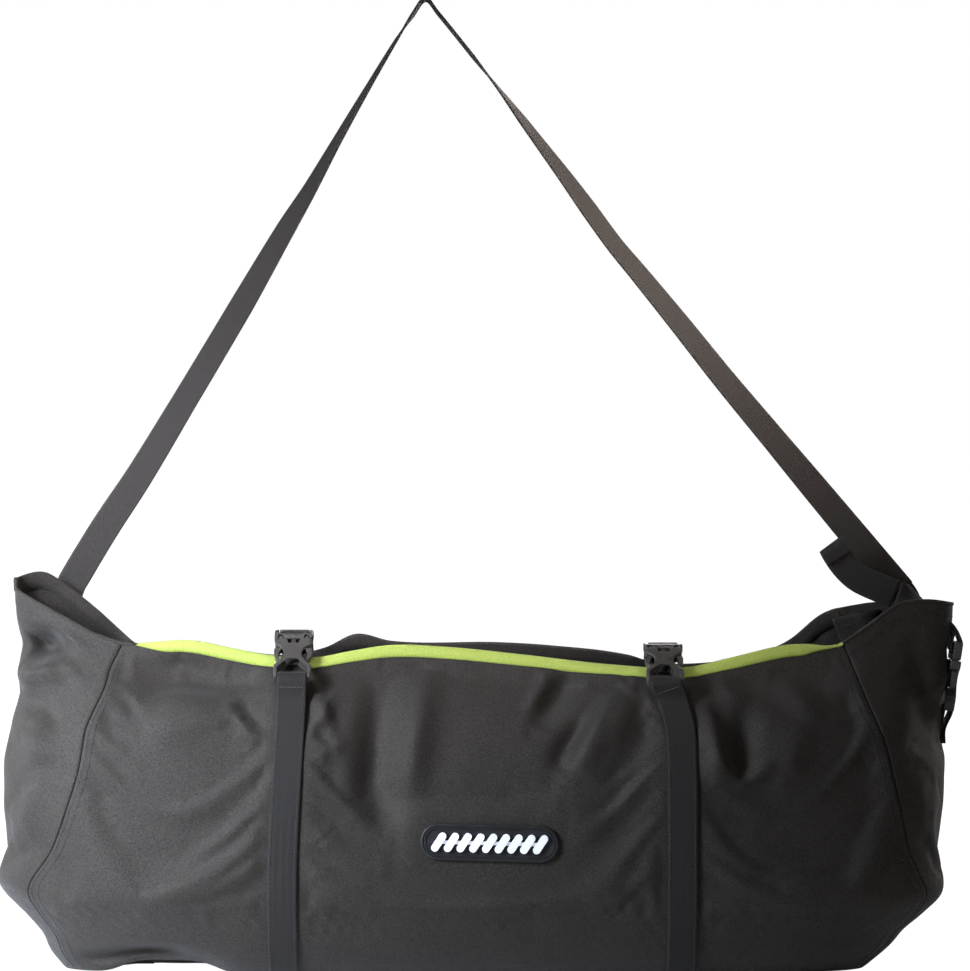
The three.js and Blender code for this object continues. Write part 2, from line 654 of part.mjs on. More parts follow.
function stadium(length, height) {
  const shape = new THREE.Shape();
  const straight = (length - height) / 2;
  shape.absarc(straight, 0, height / 2, -Math.PI / 2, Math.PI / 2, false);
  shape.absarc(-straight, 0, height / 2, Math.PI / 2, (3 * Math.PI) / 2, false);
  return shape;
}

// A raised picture of a twisted rope: slanting strands on a core.
function ropeMark() {
  const strands = 9;
  const pitch = 8.6;
  const core = block((-pitch * strands) / 2 + 4, (pitch * strands) / 2 - 4, -1.2, 1.2, -0.5, 0.5);
  const pieces = [core];
  for (let i = 0; i < strands; i++) {
    const middle = (i - (strands - 1) / 2) * pitch;
    pieces.push(plate(stadium(14.5, 5.2), 1.2).rotateZ(THREE.MathUtils.degToRad(58)).translate(middle, 0, 0));
  }
  return join(...pieces);
}

function addBadge() {
  const tilt = THREE.MathUtils.degToRad(-1.5);
  const depth = halfDepth(BADGE.z - 6) + CLEAR;
  const place = (geometry, out) => geometry
    .rotateZ(tilt)
    .rotateX(Math.PI / 2)
    .translate(BADGE.x, -depth - out, BADGE.z);
  const face = plate(stadium(BADGE.length, BADGE.height), BADGE.thickness, 0.5);
  add("badge", place(face, BADGE.thickness / 2), "rubber");
  add("badge_mark", place(ropeMark(), BADGE.thickness + 0.9), "print");
}

// A loop of webbing near one end of the floor, inside, for tying a rope's end to. It lies down, towards
// the middle of the bag, from the tab that is sewn to the floor.
function addTieInLoop(name, x) {
  const floor = FLOOR_GAP + FABRIC + CLEAR;
  const inwards = -Math.sign(x);
  const tab = new THREE.BoxGeometry(12, LOOP_WIDTH, WEBBING);
  add(`${name}_tie_in_tab`, tab.translate(x - inwards * 7, 0, floor + WEBBING / 2), "webbing");
  const points = [
    [1.4, 2], [6, 1.4], [14, 1.2], [28, 1.2], [42, 1.6], [49, 5],
    [47, 10.5], [38, 13], [24, 11.5], [11, 7.5], [2.4, 4.6],
  ].map(([along, up]) => at(x + inwards * along, 0, floor + up));
  add(`${name}_tie_in_loop`, strap(crossing(points, ALONG_Y), LOOP_WIDTH, 2), "webbing");
}

// ---------------------------------------------------------------- assembly

addPanels();
for (const name of Object.keys(BANDS)) {
  addBand(name);
  addTopStrap(name);
  addStrapTail(name);
  addBuckle(name, frontFrame(name), FRONT_SLOPE);
}
addShoulderStrap();
addLeftAnchor();
addAdjuster();
addAdjusterTail();
addEndAnchor();
addBuckle("end", endFrame(), END_SLOPE);
addBadge();
addTieInLoop("left", -225);
addTieInLoop("right", 215);

const box = new THREE.Box3().setFromObject(bag);
bag.position.set(-(box.min.x + box.max.x) / 2, -(box.min.y + box.max.y) / 2, -box.min.z);

export default bag;
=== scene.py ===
"""A rope storage bag: a stuffed fabric shell with seams, webbing straps, buckles and a badge.

Shapes are worked out in millimetres, in the frame of the bag's own middle, and put into the row's
frame, in metres, when a mesh is made.
"""

import json
import math

import bmesh
import bpy
import numpy as np
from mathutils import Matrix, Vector, noise


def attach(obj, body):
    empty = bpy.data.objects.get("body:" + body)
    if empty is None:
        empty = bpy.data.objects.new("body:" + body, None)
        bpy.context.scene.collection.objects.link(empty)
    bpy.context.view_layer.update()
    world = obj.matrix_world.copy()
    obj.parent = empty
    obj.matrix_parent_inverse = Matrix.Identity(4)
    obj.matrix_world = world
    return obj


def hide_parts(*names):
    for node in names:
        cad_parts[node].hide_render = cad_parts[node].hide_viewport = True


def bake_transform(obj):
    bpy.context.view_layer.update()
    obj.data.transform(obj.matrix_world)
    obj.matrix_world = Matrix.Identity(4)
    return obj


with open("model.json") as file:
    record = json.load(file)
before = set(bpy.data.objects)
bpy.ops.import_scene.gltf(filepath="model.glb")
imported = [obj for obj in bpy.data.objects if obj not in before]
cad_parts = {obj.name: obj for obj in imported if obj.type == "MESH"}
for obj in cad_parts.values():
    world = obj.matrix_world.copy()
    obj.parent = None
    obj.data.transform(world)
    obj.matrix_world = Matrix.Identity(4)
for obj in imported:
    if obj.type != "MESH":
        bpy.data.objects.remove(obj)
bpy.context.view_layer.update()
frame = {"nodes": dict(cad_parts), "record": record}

MM = 0.001
HANG_POINT = np.array([-37, 16, 679.4])  # the mount of that name, in the bag's own millimetres
mounts = {mount["name"]: mount for mount in frame["record"]["mounts"]}
SHIFT = np.array(mounts["hang_point"]["pos_m"]) / MM - HANG_POINT

# ---------------- the bag's shape

LEFT_LENGTH = [
    [0, 286], [15, 298], [27, 303], [40, 314], [62, 333.5], [90, 329], [118, 330], [150, 328], [170, 326.5],
    [186, 321], [200, 318], [214, 320.5], [230, 321], [280, 325],
]
RIGHT_LENGTH = [
    [0, 266], [9, 277], [19, 288], [30, 297], [40, 309], [55, 323], [72, 323], [90, 321.5], [105, 323],
    [120, 324], [150, 322.5], [177, 322], [223, 329], [280, 334],
]
HALF_DEPTH = [
    [0, 48], [10, 62], [35, 76], [80, 82], [130, 80], [170, 71], [195, 57], [216, 40], [240, 34], [280, 33],
]
LEFT_SEAM = [
    [0, 0.965], [0.19, 0.949], [0.33, 0.9], [0.4, 0.881], [0.5, 0.853], [0.6, 0.834], [0.7, 0.825],
    [0.8, 0.819], [0.9, 0.8], [1, 0.765],
]
RIGHT_SEAM = [
    [0, 0.98], [0.17, 0.97], [0.354, 0.925], [0.52, 0.891], [0.72, 0.863], [0.89, 0.804], [1, 0.765],
]
FRONT_RIM = [
    [-330, 270], [-303, 255], [-283, 244], [-262, 233], [-249, 229], [-198, 230], [-171, 225], [-143, 220],
    [-110, 219], [-88, 223], [-60, 227], [-19, 225.5], [36, 220], [91, 214], [146, 212], [174, 218],
    [215, 227], [229, 227.5], [249, 227], [267, 237], [285, 253], [309, 258], [335, 255],
]
BACK_RIM = [
    [-330, 270], [-303, 276], [-288, 266], [-262, 243], [-249, 229], [-180, 222], [-140, 217], [-110, 222],
    [-87, 232], [-62, 227], [15, 226], [49, 224], [108, 217], [125, 212], [160, 211], [200, 218], [222, 228],
    [243, 246], [261, 252], [309, 256], [335, 255],
]
RIM_LEVEL = 250  # the height at which the rim's places are read off
ROUNDNESS = 3  # the power of the superellipse that the bag's plan is
FLOOR_GAP = 2.4  # the height of the walls' lower edge
KEEL = {"share": 0.93, "low": -215, "high": 200, "height": 2.2}  # the line that the underside runs in to
FABRIC = 1.4  # thicknesses
WEBBING = 1.6
BAND_WIDTH = 20
CARRY_WIDTH = 21
BANDS = {"left": (-132.5, -127), "right": (139, 128)}  # X at the floor and at the buckle
# Front buckles: Y and Z of the female's webbing bar, how many degrees the buckle leans from vertical,
# and the strap's way on over the mouth, from the back rim to the buckle, as Y and Z.
FRONT_BUCKLES = {
    "left": {
        "bar": (-58.5, 206.8), "lean": 45,
        "over": [(43.5, 217), (36, 223.8), (24, 228.4), (8, 231.4), (-6, 232.4)],
    },
    "right": {
        "bar": (-61.2, 204.3), "lean": 55,
        "over": [(44.5, 215), (37.5, 219.4), (26, 221.8), (10, 222.4), (-5, 222.6)],
    },
}
FRONT_SLOPE = math.radians(30)  # how far the male's bars slope down from the rest of it
LADDER_START = 36.4  # where that slope begins
BAND_BENDS = {"left": (60, 205), "right": (160, 215)}  # the heights between which each band leans
END_BAR = np.array([328, 0, 183])
END_LEAN = math.radians(8.7)
CARRY_LEFT = np.array([-284, 30, 275])
CARRY_RIGHT = np.array([297, 6, 263])
CARRY_TOP = np.array([-37, 16, 681])
BADGE = {"x": 8, "z": 96, "length": 94, "height": 25}
RIM_TAPE = 8  # height of the tape along the mouth
TAPE_START = -236  # X where it begins

# The grid that the shell is made on: columns along a long wall and round an end, and rows.
LONG_COLUMNS = 124
END_COLUMNS = 26
WALL_ROWS = 50
FLOOR_ROWS = 12


def through(table):
    """A function that passes smoothly through a table of [number, value] pairs."""
    xs, ys = np.array(table, float).T
    steps = np.diff(ys) / np.diff(xs)
    slopes = np.concatenate([steps[:1], (steps[1:] + steps[:-1]) / 2, steps[-1:]])

    def evaluate(x):
        x = np.clip(np.asarray(x, float), xs[0], xs[-1])
        i = np.clip(np.searchsorted(xs, x) - 1, 0, len(xs) - 2)
        width = xs[i + 1] - xs[i]
        t = (x - xs[i]) / width
        near = (1 + 2 * t) * (1 - t) ** 2 * ys[i] + t * (1 - t) ** 2 * width * slopes[i]
        far = t * t * (3 - 2 * t) * ys[i + 1] + t * t * (t - 1) * width * slopes[i + 1]
        return near + far

    return evaluate


def run_along(points):
    """How far each point is along the line through them all."""
    return np.cumsum(np.linalg.norm(np.diff(points, axis=0, prepend=points[:1]), axis=-1), axis=0)


def at_run(run, runs, values):
    """Values at some distances along a line, from those that its own points have."""
    return np.stack([np.interp(run, runs, values[:, i]) for i in range(3)], axis=-1)


left_length, right_length = through(LEFT_LENGTH), through(RIGHT_LENGTH)
half_depth, left_seam, right_seam = through(HALF_DEPTH), through(LEFT_SEAM), through(RIGHT_SEAM)
front_rim, back_rim = through(FRONT_RIM), through(BACK_RIM)


def length_at(c, z):
    return np.where(c < 0, left_length(z), right_length(z))


def across_share(c):
    """How deep the superellipse is at a share c of its half length, or how long at a share of its depth."""
    return np.clip(1 - np.abs(c) ** ROUNDNESS, 0, 1) ** (1 / ROUNDNESS)


def wall_point(c, top_share, side, v):
    rim_x = top_share * length_at(c, RIM_LEVEL)
    rim = np.where(side < 0, front_rim(rim_x), back_rim(rim_x))
    z = FLOOR_GAP + (rim - FLOOR_GAP) * v
    return np.stack([c * length_at(c, z), side * across_share(c) * half_depth(z), z], axis=-1)


def long_wall(side, s, v):
    share = (2 * s - 1) * -side
    seam = np.where(share < 0, left_seam(v), right_seam(v))
    return wall_point(share * seam, share * left_seam(1), side, v)


def end_wall(end, s, v):
    depth = across_share(left_seam(v) if end < 0 else right_seam(v))
    top_depth = across_share(left_seam(1))
    turn = (2 * s - 1) * end
    side = np.where(turn < 0, -1, 1)
    return wall_point(end * across_share(turn * depth), end * across_share(turn * top_depth), side, v)


def shell_grid():
    """Rows from the rim's height down to the keel line under the bag, by columns round the bag."""
    v = np.linspace(1, 0, WALL_ROWS)[:, None]
    long_s = np.linspace(0, 1, LONG_COLUMNS + 1)[None, :-1]
    end_s = np.linspace(0, 1, END_COLUMNS + 1)[None, :-1]
    walls = np.concatenate(
        [long_wall(-1, long_s, v), end_wall(1, end_s, v), long_wall(1, long_s, v), end_wall(-1, end_s, v)],
        axis=1,
    )
    edge = walls[-1]
    keel = np.zeros(edge.shape)
    keel[:, 0] = np.clip(edge[:, 0] * KEEL["share"], KEEL["low"], KEEL["high"])
    keel[:, 2] = KEEL["height"]
    share = np.linspace(0, 1, FLOOR_ROWS + 1)[1:, None, None]
    return np.concatenate([walls, edge + (keel - edge) * share], axis=0)


# Where each panel's columns begin in the grid.
FRONT_START = 0
RIGHT_START = LONG_COLUMNS
BACK_START = LONG_COLUMNS + END_COLUMNS
LEFT_START = 2 * LONG_COLUMNS + END_COLUMNS
ALL_COLUMNS = 2 * (LONG_COLUMNS + END_COLUMNS)
SEAM_COLUMNS = [FRONT_START, RIGHT_START, BACK_START, LEFT_START]


def grid_normals(points):
    """Outward unit normals of a grid that closes on itself along its columns."""
    along = np.roll(points, -1, axis=1) - np.roll(points, 1, axis=1)
    down = np.gradient(points, axis=0)
    normals = np.cross(down, along)
    return normals / np.maximum(np.linalg.norm(normals, axis=-1, keepdims=True), 1e-9)


# ---------------- folds

# The folds that are laid into the cloth: the line each one follows, as X and Z, how far it stands out
# (or in, where it is negative), and how wide it is to the left and to the right of its line.
FRONT_FOLDS = [
    ([(-240, 206), (-205, 212), (-162, 204), (-143, 184)], -9, 12, 12),
    ([(-229, 168), (-195, 182), (-164, 188)], 5, 24, 14),
    ([(-172, 196), (-160, 180), (-150, 160)], 4, 4, 6),
    ([(-164, 190), (-146, 172)], -4, 5, 5),
    ([(-236, 46), (-190, 75), (-141, 101)], 3, 6, 10),
    ([(-214, 68), (-142, 125)], 2.6, 5, 9),
    ([(-176, 66), (-143, 84)], 2, 5, 7),
    ([(-150, 132), (-137, 151)], -3.5, 5, 5),
    ([(-146, 126), (-134, 143)], 2.4, 4, 4),
    ([(-115, 203), (-97, 165)], 4, 5, 7),
    ([(-96, 200), (-117, 162)], 3.4, 5, 6),
    ([(-112, 152), (-90, 166)], 2.8, 5, 7),
    ([(-116, 92), (-92, 112)], 2, 5, 7),
    ([(-118, 70), (-94, 84)], 1.6, 5, 6),
    ([(-66, 212), (-68, 176), (-70, 140), (-64, 100)], -14, 18, 12),
    ([(-36, 216), (-44, 172), (-54, 118)], 7, 12, 36),
    ([(66, 216), (38, 176)], -9, 10, 6),
    ([(52, 214), (34, 184)], 4, 12, 5),
    ([(98, 198), (60, 146)], 9, 16, 7),
    ([(74, 182), (52, 144)], -7, 8, 8),
    ([(108, 204), (92, 156)], 3, 8, 8),
    ([(104, 150), (88, 112)], -4, 10, 9),
    ([(152, 196), (168, 128)], 8, 7, 13),
    ([(186, 198), (178, 140)], -6.5, 10, 9),
    ([(172, 130), (202, 152)], 3.5, 5, 6),
    ([(160, 204), (196, 184)], 5, 8, 8),
    ([(206, 206), (238, 178)], 3, 9, 9),
    ([(222, 178), (206, 128)], 3, 10, 12),
    ([(256, 199), (271, 175)], -3.5, 5, 5),
    ([(152, 102), (224, 72)], 2.4, 13, 9),
    ([(182, 58), (262, 86)], 2.4, 10, 13),
    ([(-70, 52), (40, 44)], 1.6, 14, 12),
    ([(258, 214), (292, 180)], 7, 9, 10),
    ([(276, 170), (290, 120)], -3, 9, 10),
    ([(300, 234), (312, 190), (306, 150)], -3, 9, 9),
    ([(-326, 230), (-306, 227), (-284, 229)], -22, 8, 9),
    ([(-318, 209), (-300, 209), (-276, 216)], 8, 9, 7),
    ([(-322, 196), (-300, 186), (-281, 165)], -5, 6, 8),
    ([(-313, 168), (-281, 146)], 4.5, 8, 8),
    ([(-300, 240), (-262, 226)], 5, 6, 7),
    ([(-290, 245), (-268, 214), (-270, 190)], 4, 6, 8),
    ([(-322, 120), (-296, 92)], 3, 8, 8),
]
BACK_FOLDS = [
    ([(-210, 196), (-170, 168), (-160, 130)], -5, 12, 12),
    ([(-60, 206), (-30, 150), (-44, 96)], 6, 9, 20),
    ([(-84, 196), (-70, 132)], -5, 12, 9),
    ([(40, 202), (70, 150)], 4, 7, 12),
    ([(96, 190), (84, 130)], 3, 6, 6),
    ([(176, 200), (206, 140)], -5, 10, 10),
    ([(162, 186), (180, 122)], 4, 6, 9),
    ([(-240, 60), (-150, 106)], 2, 6, 9),
    ([(160, 56), (250, 96)], 2, 6, 9),
    ([(-20, 60), (70, 84)], 1.8, 10, 10),
    ([(262, 212), (292, 182)], 4, 8, 8),
    ([(-318, 210), (-284, 190)], -4, 6, 6),
    ([(-300, 244), (-272, 214)], 3, 6, 8),
]
END_FOLD_LEVELS = [(226, -2.5, 7), (206, 3, 8), (172, -2.6, 9), (150, 2, 10), (96, 1.6, 12)]


def smoothstep(low, high, x):
    t = np.clip((x - low) / (high - low), 0, 1)
    return t * t * (3 - 2 * t)


def fold(x, z, line, height, left_width, right_width):
    """The height of one fold at each place."""
    line = np.array(line, float)
    starts = run_along(line)
    best = np.full(x.shape, 1e9)
    signed = np.zeros(x.shape)
    share = np.zeros(x.shape)
    for a, b, start, end in zip(line[:-1], line[1:], starts[:-1], starts[1:]):
        length = end - start
        d = (b - a) / length
        px, pz = x - a[0], z - a[1]
        t = np.clip(px * d[0] + pz * d[1], 0, length)
        dx, dz = px - t * d[0], pz - t * d[1]
        distance = np.hypot(dx, dz)
        nearer = distance < best
        best = np.where(nearer, distance, best)
        signed = np.where(nearer, np.sign(d[0] * dz - d[1] * dx) * distance, signed)
        share = np.where(nearer, (start + t) / starts[-1], share)
    width = np.where(signed > 0, left_width, right_width)
    ends = np.sin(np.clip(share, 0.02, 0.98) * math.pi) ** 0.6
    return height * ends * np.exp(-((best / width) ** 2))


def band_x(name, z):
    low, high = BANDS[name]
    return low + (high - low) * smoothstep(*BAND_BENDS[name], z)


def badge_share(points, reach):
    """How far each place is under the influence of the stiff badge: 1 at its edge and 0 beyond its reach."""
    x, y, z = points[..., 0], points[..., 1], points[..., 2]
    beside = np.maximum(np.abs(x - BADGE["x"]) - BADGE["length"] / 2, 0)
    above = np.maximum(np.abs(z - BADGE["z"]) - BADGE["height"] / 2, 0)
    return (1 - smoothstep(1, reach, np.hypot(beside, above))) * (y < 0)


def held_share(points):
    """How firmly each place of the shell is held: by the bands, seams, rim and floor."""
    x, y, z = points[..., 0], points[..., 1], points[..., 2]
    held = np.zeros(x.shape)
    for name in BANDS:
        held = np.maximum(held, 1 - smoothstep(10, 21, np.abs(x - band_x(name, z))))
    columns = np.arange(points.shape[1])[None, :]
    for seam in SEAM_COLUMNS:
        away = np.abs((columns - seam + ALL_COLUMNS // 2) % ALL_COLUMNS - ALL_COLUMNS // 2)
        held = np.maximum(held, 0.9 * (1 - smoothstep(0.6, 2.6, away)))
    rows = np.arange(points.shape[0])[:, None]
    held = np.maximum(held, 1 - smoothstep(0.5, 3.5, rows))
    return np.maximum(held, 1 - smoothstep(4, 66, z))


# Where the underside is drawn up at the left: its middle and half width along the bag, and how far it
# rises at the back and, beyond that, at the front. The front wall is pushed in just above it.
DRAWN_UP = {"x": -212, "width": 36, "back": 2.5, "front": 7}
PUSHED_IN = {"x": -238, "width": 34, "z": 13, "height": 6, "depth": 12}


def folded(points):
    """The shell with its folds laid in, and its underside drawn up at the front left."""
    x, y, z = points[..., 0], points[..., 1], points[..., 2]
    height = np.zeros(x.shape)
    for line, out, left_width, right_width in FRONT_FOLDS:
        height += fold(x, z, line, out, left_width, right_width) * smoothstep(4, -14, y)
    for line, out, left_width, right_width in BACK_FOLDS:
        height += fold(x, z, line, out, right_width, left_width) * smoothstep(-4, 14, y)
    around = smoothstep(285, 318, np.abs(x)) * (1 - smoothstep(20, 40, np.abs(y)))
    for level, out, width in END_FOLD_LEVELS:
        height += out * np.exp(-(((z - level - 0.35 * y) / width) ** 2)) * around * 0.7
    free = (1 - held_share(points)) * (1 - badge_share(points, BADGE_FOLD_REACH))
    result = points + grid_normals(points) * (height * np.clip(free, 0, 1))[..., None]
    up, pushed = DRAWN_UP, PUSHED_IN
    rise = np.exp(-(((x - up["x"]) / up["width"]) ** 4)) * np.exp(-((z / 20) ** 2))
    result[..., 2] += (up["back"] + up["front"] * (1 - smoothstep(-32, -6, y))) * rise
    push = np.exp(-(((x - pushed["x"]) / pushed["width"]) ** 4))
    push = push * np.exp(-(((z - pushed["z"]) / pushed["height"]) ** 2)) * (y < 0)
    result[..., 1] += pushed["depth"] * push
    return result


# ---------------- cloth

CLOTH_FRAMES = 22
CLOTH_PRESSURE = 0.9
CLOTH_SLACK = 0.005  # how much larger the cloth is than the shape that it is laid on
CLOTH_REACH = 4.0  # the furthest that the cloth may move from there
BADGE_FOLD_REACH, BADGE_CLOTH_REACH = 24, 60  # how far the badge keeps folds and moving cloth away
BROAD_CRINKLE = {"size": 34, "height": 0.7}
SHARP_CRINKLE = {"size": 15, "height": 0.4}


def new_object(name, mesh):
    made = bpy.data.objects.new(name, mesh)
    bpy.context.scene.collection.objects.link(made)
    return made


def settled(points):
    """The shell after its cloth has been let go, between the places that hold it, under its own stuffing."""
    walls = points[:WALL_ROWS]
    index = np.arange(walls.size // 3).reshape(walls.shape[:2])
    right = np.roll(index, -1, axis=1)
    quads = np.stack([index[:-1], index[1:], right[1:], right[:-1]], axis=-1).reshape(-1, 4)
    mesh = bpy.data.meshes.new("cloth")
    mesh.from_pydata((walls.reshape(-1, 3) * MM).tolist(), [], quads.tolist())
    cloth = new_object("cloth", mesh)
    group = cloth.vertex_groups.new(name="held")
    for i, weight in enumerate(held_share(walls).reshape(-1)):
        group.add([i], float(weight), "REPLACE")
    modifier = cloth.modifiers.new("Cloth", "CLOTH")
    settings = modifier.settings
    settings.quality = 5
    settings.mass = 0.3
    settings.tension_stiffness = settings.compression_stiffness = 18
    settings.shear_stiffness = 6
    settings.bending_stiffness = 1.5
    settings.tension_damping = settings.compression_damping = settings.shear_damping = 8
    settings.vertex_group_mass = "held"
    settings.pin_stiffness = 2
    settings.shrink_min = -CLOTH_SLACK
    settings.use_pressure = True
    settings.uniform_pressure_force = CLOTH_PRESSURE
    settings.effector_weights.gravity = 0.25
    modifier.collision_settings.use_collision = False
    scene = bpy.context.scene
    for number in range(1, CLOTH_FRAMES + 1):
        scene.frame_set(number)
    evaluated = cloth.evaluated_get(bpy.context.evaluated_depsgraph_get())
    moved = np.array([v.co for v in evaluated.data.vertices]).reshape(walls.shape) / MM
    scene.frame_set(1)
    bpy.data.objects.remove(cloth)
    move = (moved - walls) * (1 - badge_share(walls, BADGE_CLOTH_REACH))[..., None]
    length = np.linalg.norm(move, axis=-1, keepdims=True)
    result = points.copy()
    result[:WALL_ROWS] += move * np.minimum(1, CLOTH_REACH / np.maximum(length, 1e-6))
    return result


def finer(points, closed):
    """A grid with a new row and column between every two, on a smooth surface."""
    for axis in (0, 1):
        a = np.moveaxis(points, axis, 0)
        if axis == 1 and closed:
            before, after, after2 = np.roll(a, 1, axis=0), np.roll(a, -1, axis=0), np.roll(a, -2, axis=0)
            between = (9 * (a + after) - before - after2) / 16
            both = np.stack([a, between], axis=1).reshape(-1, *a.shape[1:])
        else:
            padded = np.concatenate([2 * a[:1] - a[1:2], a, 2 * a[-1:] - a[-2:-1]])
            between = (9 * (padded[1:-2] + padded[2:-1]) - padded[:-3] - padded[3:]) / 16
            both = np.empty((2 * len(a) - 1, *a.shape[1:]))
            both[0::2], both[1::2] = a, between
        points = np.moveaxis(both, 0, axis)
    return points


def crumpled(points):
    """The finer shell with the small crinkles that coated fabric has where nothing holds it."""
    free = 1 - held_share(points) * 0.85
    normals = grid_normals(points)
    heights = np.zeros(points.shape[:2])
    for row in range(points.shape[0]):
        for column in range(points.shape[1]):
            place = Vector(points[row, column])
            broad = noise.noise(place / BROAD_CRINKLE["size"])
            sharp = abs(noise.noise(place / SHARP_CRINKLE["size"] + Vector((7, 3, 1)))) - 0.2
            heights[row, column] = BROAD_CRINKLE["height"] * broad - SHARP_CRINKLE["height"] * sharp
    return points + normals * (heights * free)[..., None]


# ---------------- meshes

def grid_mesh(name, points, uvs, around=0.0):
    """An object whose faces join the neighbours in a grid of points, in millimetres.

    Where the last column joins the first again, around is the length of cloth that goes round.
    """
    rows, columns = points.shape[:2]
    index = np.arange(rows * columns).reshape(rows, columns)
    if around:
        index = np.concatenate([index, index[:, :1]], axis=1)
        uvs = np.concatenate([uvs, uvs[:, :1] + [[[0, around]]]], axis=1)
    quads = np.stack([index[:-1, :-1], index[1:, :-1], index[1:, 1:], index[:-1, 1:]], axis=-1).reshape(-1, 4)
    mesh = bpy.data.meshes.new(name)
    mesh.from_pydata(((points + SHIFT).reshape(-1, 3) * MM).tolist(), [], quads.tolist())
    mesh.polygons.foreach_set("use_smooth", [True] * len(quads))
    corners = np.stack([uvs[:-1, :-1], uvs[1:, :-1], uvs[1:, 1:], uvs[:-1, 1:]], axis=2).reshape(-1, 2)
    mesh.uv_layers.new(name="cloth").data.foreach_set("uv", (corners * MM).ravel())
    return new_object(name, mesh)


def cloth_uvs(points):
    """How far each place of a grid is along its threads, in millimetres, across and down."""
    down = run_along(points)
    across = run_along(points[points.shape[0] // 2])
    return np.stack([np.broadcast_to(across, down.shape), down], axis=-1)


def edit_mesh(obj, edit):
    """Changes an object's mesh by a function of its bmesh."""
    work = bmesh.new()
    work.from_mesh(obj.data)
    work.verts.ensure_lookup_table()
    edit(work)
    work.to_mesh(obj.data)
    work.free()


def close_ends(obj, count, turned=False):
    """Closes both ends of a tube whose rings have so many corners."""
    def edit(work):
        corners = list(work.verts)
        first, last = corners[:count], corners[-count:]
        for ring in (first[::-1], last) if turned else (first, last[::-1]):
            work.faces.new(ring)

    edit_mesh(obj, edit)


def thicken(obj, thickness, levels=1):
    smooth = obj.modifiers.new("Subdivision", "SUBSURF")
    smooth.levels = smooth.render_levels = levels
    solid = obj.modifiers.new("Solidify", "SOLIDIFY")
    solid.thickness = thickness * MM
    solid.offset = -1
    return obj


def finish_piece(obj, material, slot, *nodes, body=None):
    obj.data.materials.append(material)
    if nodes:
        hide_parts(*nodes)
    if body:
        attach(obj, body)
    return obj


class Ribbon:
    """Webbing along a smooth line through stops, each a point and the direction across the webbing."""

    def __init__(self, stops, width, thickness=WEBBING, spacing=2.0):
        places = np.array([stop[0] for stop in stops], float)
        across = np.array([stop[1] for stop in stops], float)
        ends = np.concatenate([2 * places[:1] - places[1:2], places, 2 * places[-1:] - places[-2:-1]])
        knots = np.linalg.norm(np.diff(ends, axis=0), axis=1) ** 0.5
        line, sides = [], []
        for k in range(len(stops) - 1):
            p0, p1, p2, p3 = ends[k : k + 4]
            a, b, c = knots[k : k + 3]
            m1 = ((p1 - p0) / a - (p2 - p0) / (a + b) + (p2 - p1) / b) * b
            m2 = ((p2 - p1) / b - (p3 - p1) / (b + c) + (p3 - p2) / c) * b
            for t in np.linspace(0, 1, 12, endpoint=k == len(stops) - 2):
                blend = (2 * t**3 - 3 * t**2 + 1) * p1 + (t**3 - 2 * t**2 + t) * m1
                line.append(blend + (3 * t**2 - 2 * t**3) * p2 + (t**3 - t**2) * m2)
                sides.append(across[k] + (across[k + 1] - across[k]) * t)
        line, sides = np.array(line), np.array(sides)
        run = run_along(line)
        self.length = run[-1]
        self.run = np.linspace(0, self.length, max(3, int(self.length / spacing) + 1))
        self.line = at_run(self.run, run, line)
        sides = at_run(self.run, run, sides)
        self.along = np.gradient(self.line, axis=0)
        self.along /= np.linalg.norm(self.along, axis=1, keepdims=True)
        sides -= self.along * np.sum(sides * self.along, axis=1, keepdims=True)
        self.across = sides / np.linalg.norm(sides, axis=1, keepdims=True)
        self.out = np.cross(self.along, self.across)
        self.width, self.thickness = width, thickness

    def place(self, w, run, lift=0):
        """The point at w across the webbing and so far along it, lifted off its middle, and the way out."""
        line, across, out = (at_run(run, self.run, a) for a in (self.line, self.across, self.out))
        return line + across * w + out * lift, out

    def mesh(self, name):
        half, deep = self.width / 2, self.thickness / 2
        upper = [(-half, 0), (-half + 0.1, deep * 0.62), (-half + 0.45, deep), (-half + 1.4, deep * 0.94)]
        upper += [(-half * 0.5, deep * 0.97), (0, deep), (half * 0.5, deep * 0.97)]
        upper += [(half - 1.4, deep * 0.94), (half - 0.45, deep), (half - 0.1, deep * 0.62)]
        section = np.array(upper + [(-w, -t) for w, t in upper])
        w, t = section[:, 0][None, :, None], section[:, 1][None, :, None]
        points = self.line[:, None] + self.across[:, None] * w + self.out[:, None] * t
        uvs = np.stack(np.broadcast_arrays(self.run[:, None], run_along(section)[None, :]), axis=-1)
        obj = grid_mesh(name, points[::-1], uvs[::-1], 2 * (self.width + self.thickness))
        close_ends(obj, len(section))
        return obj


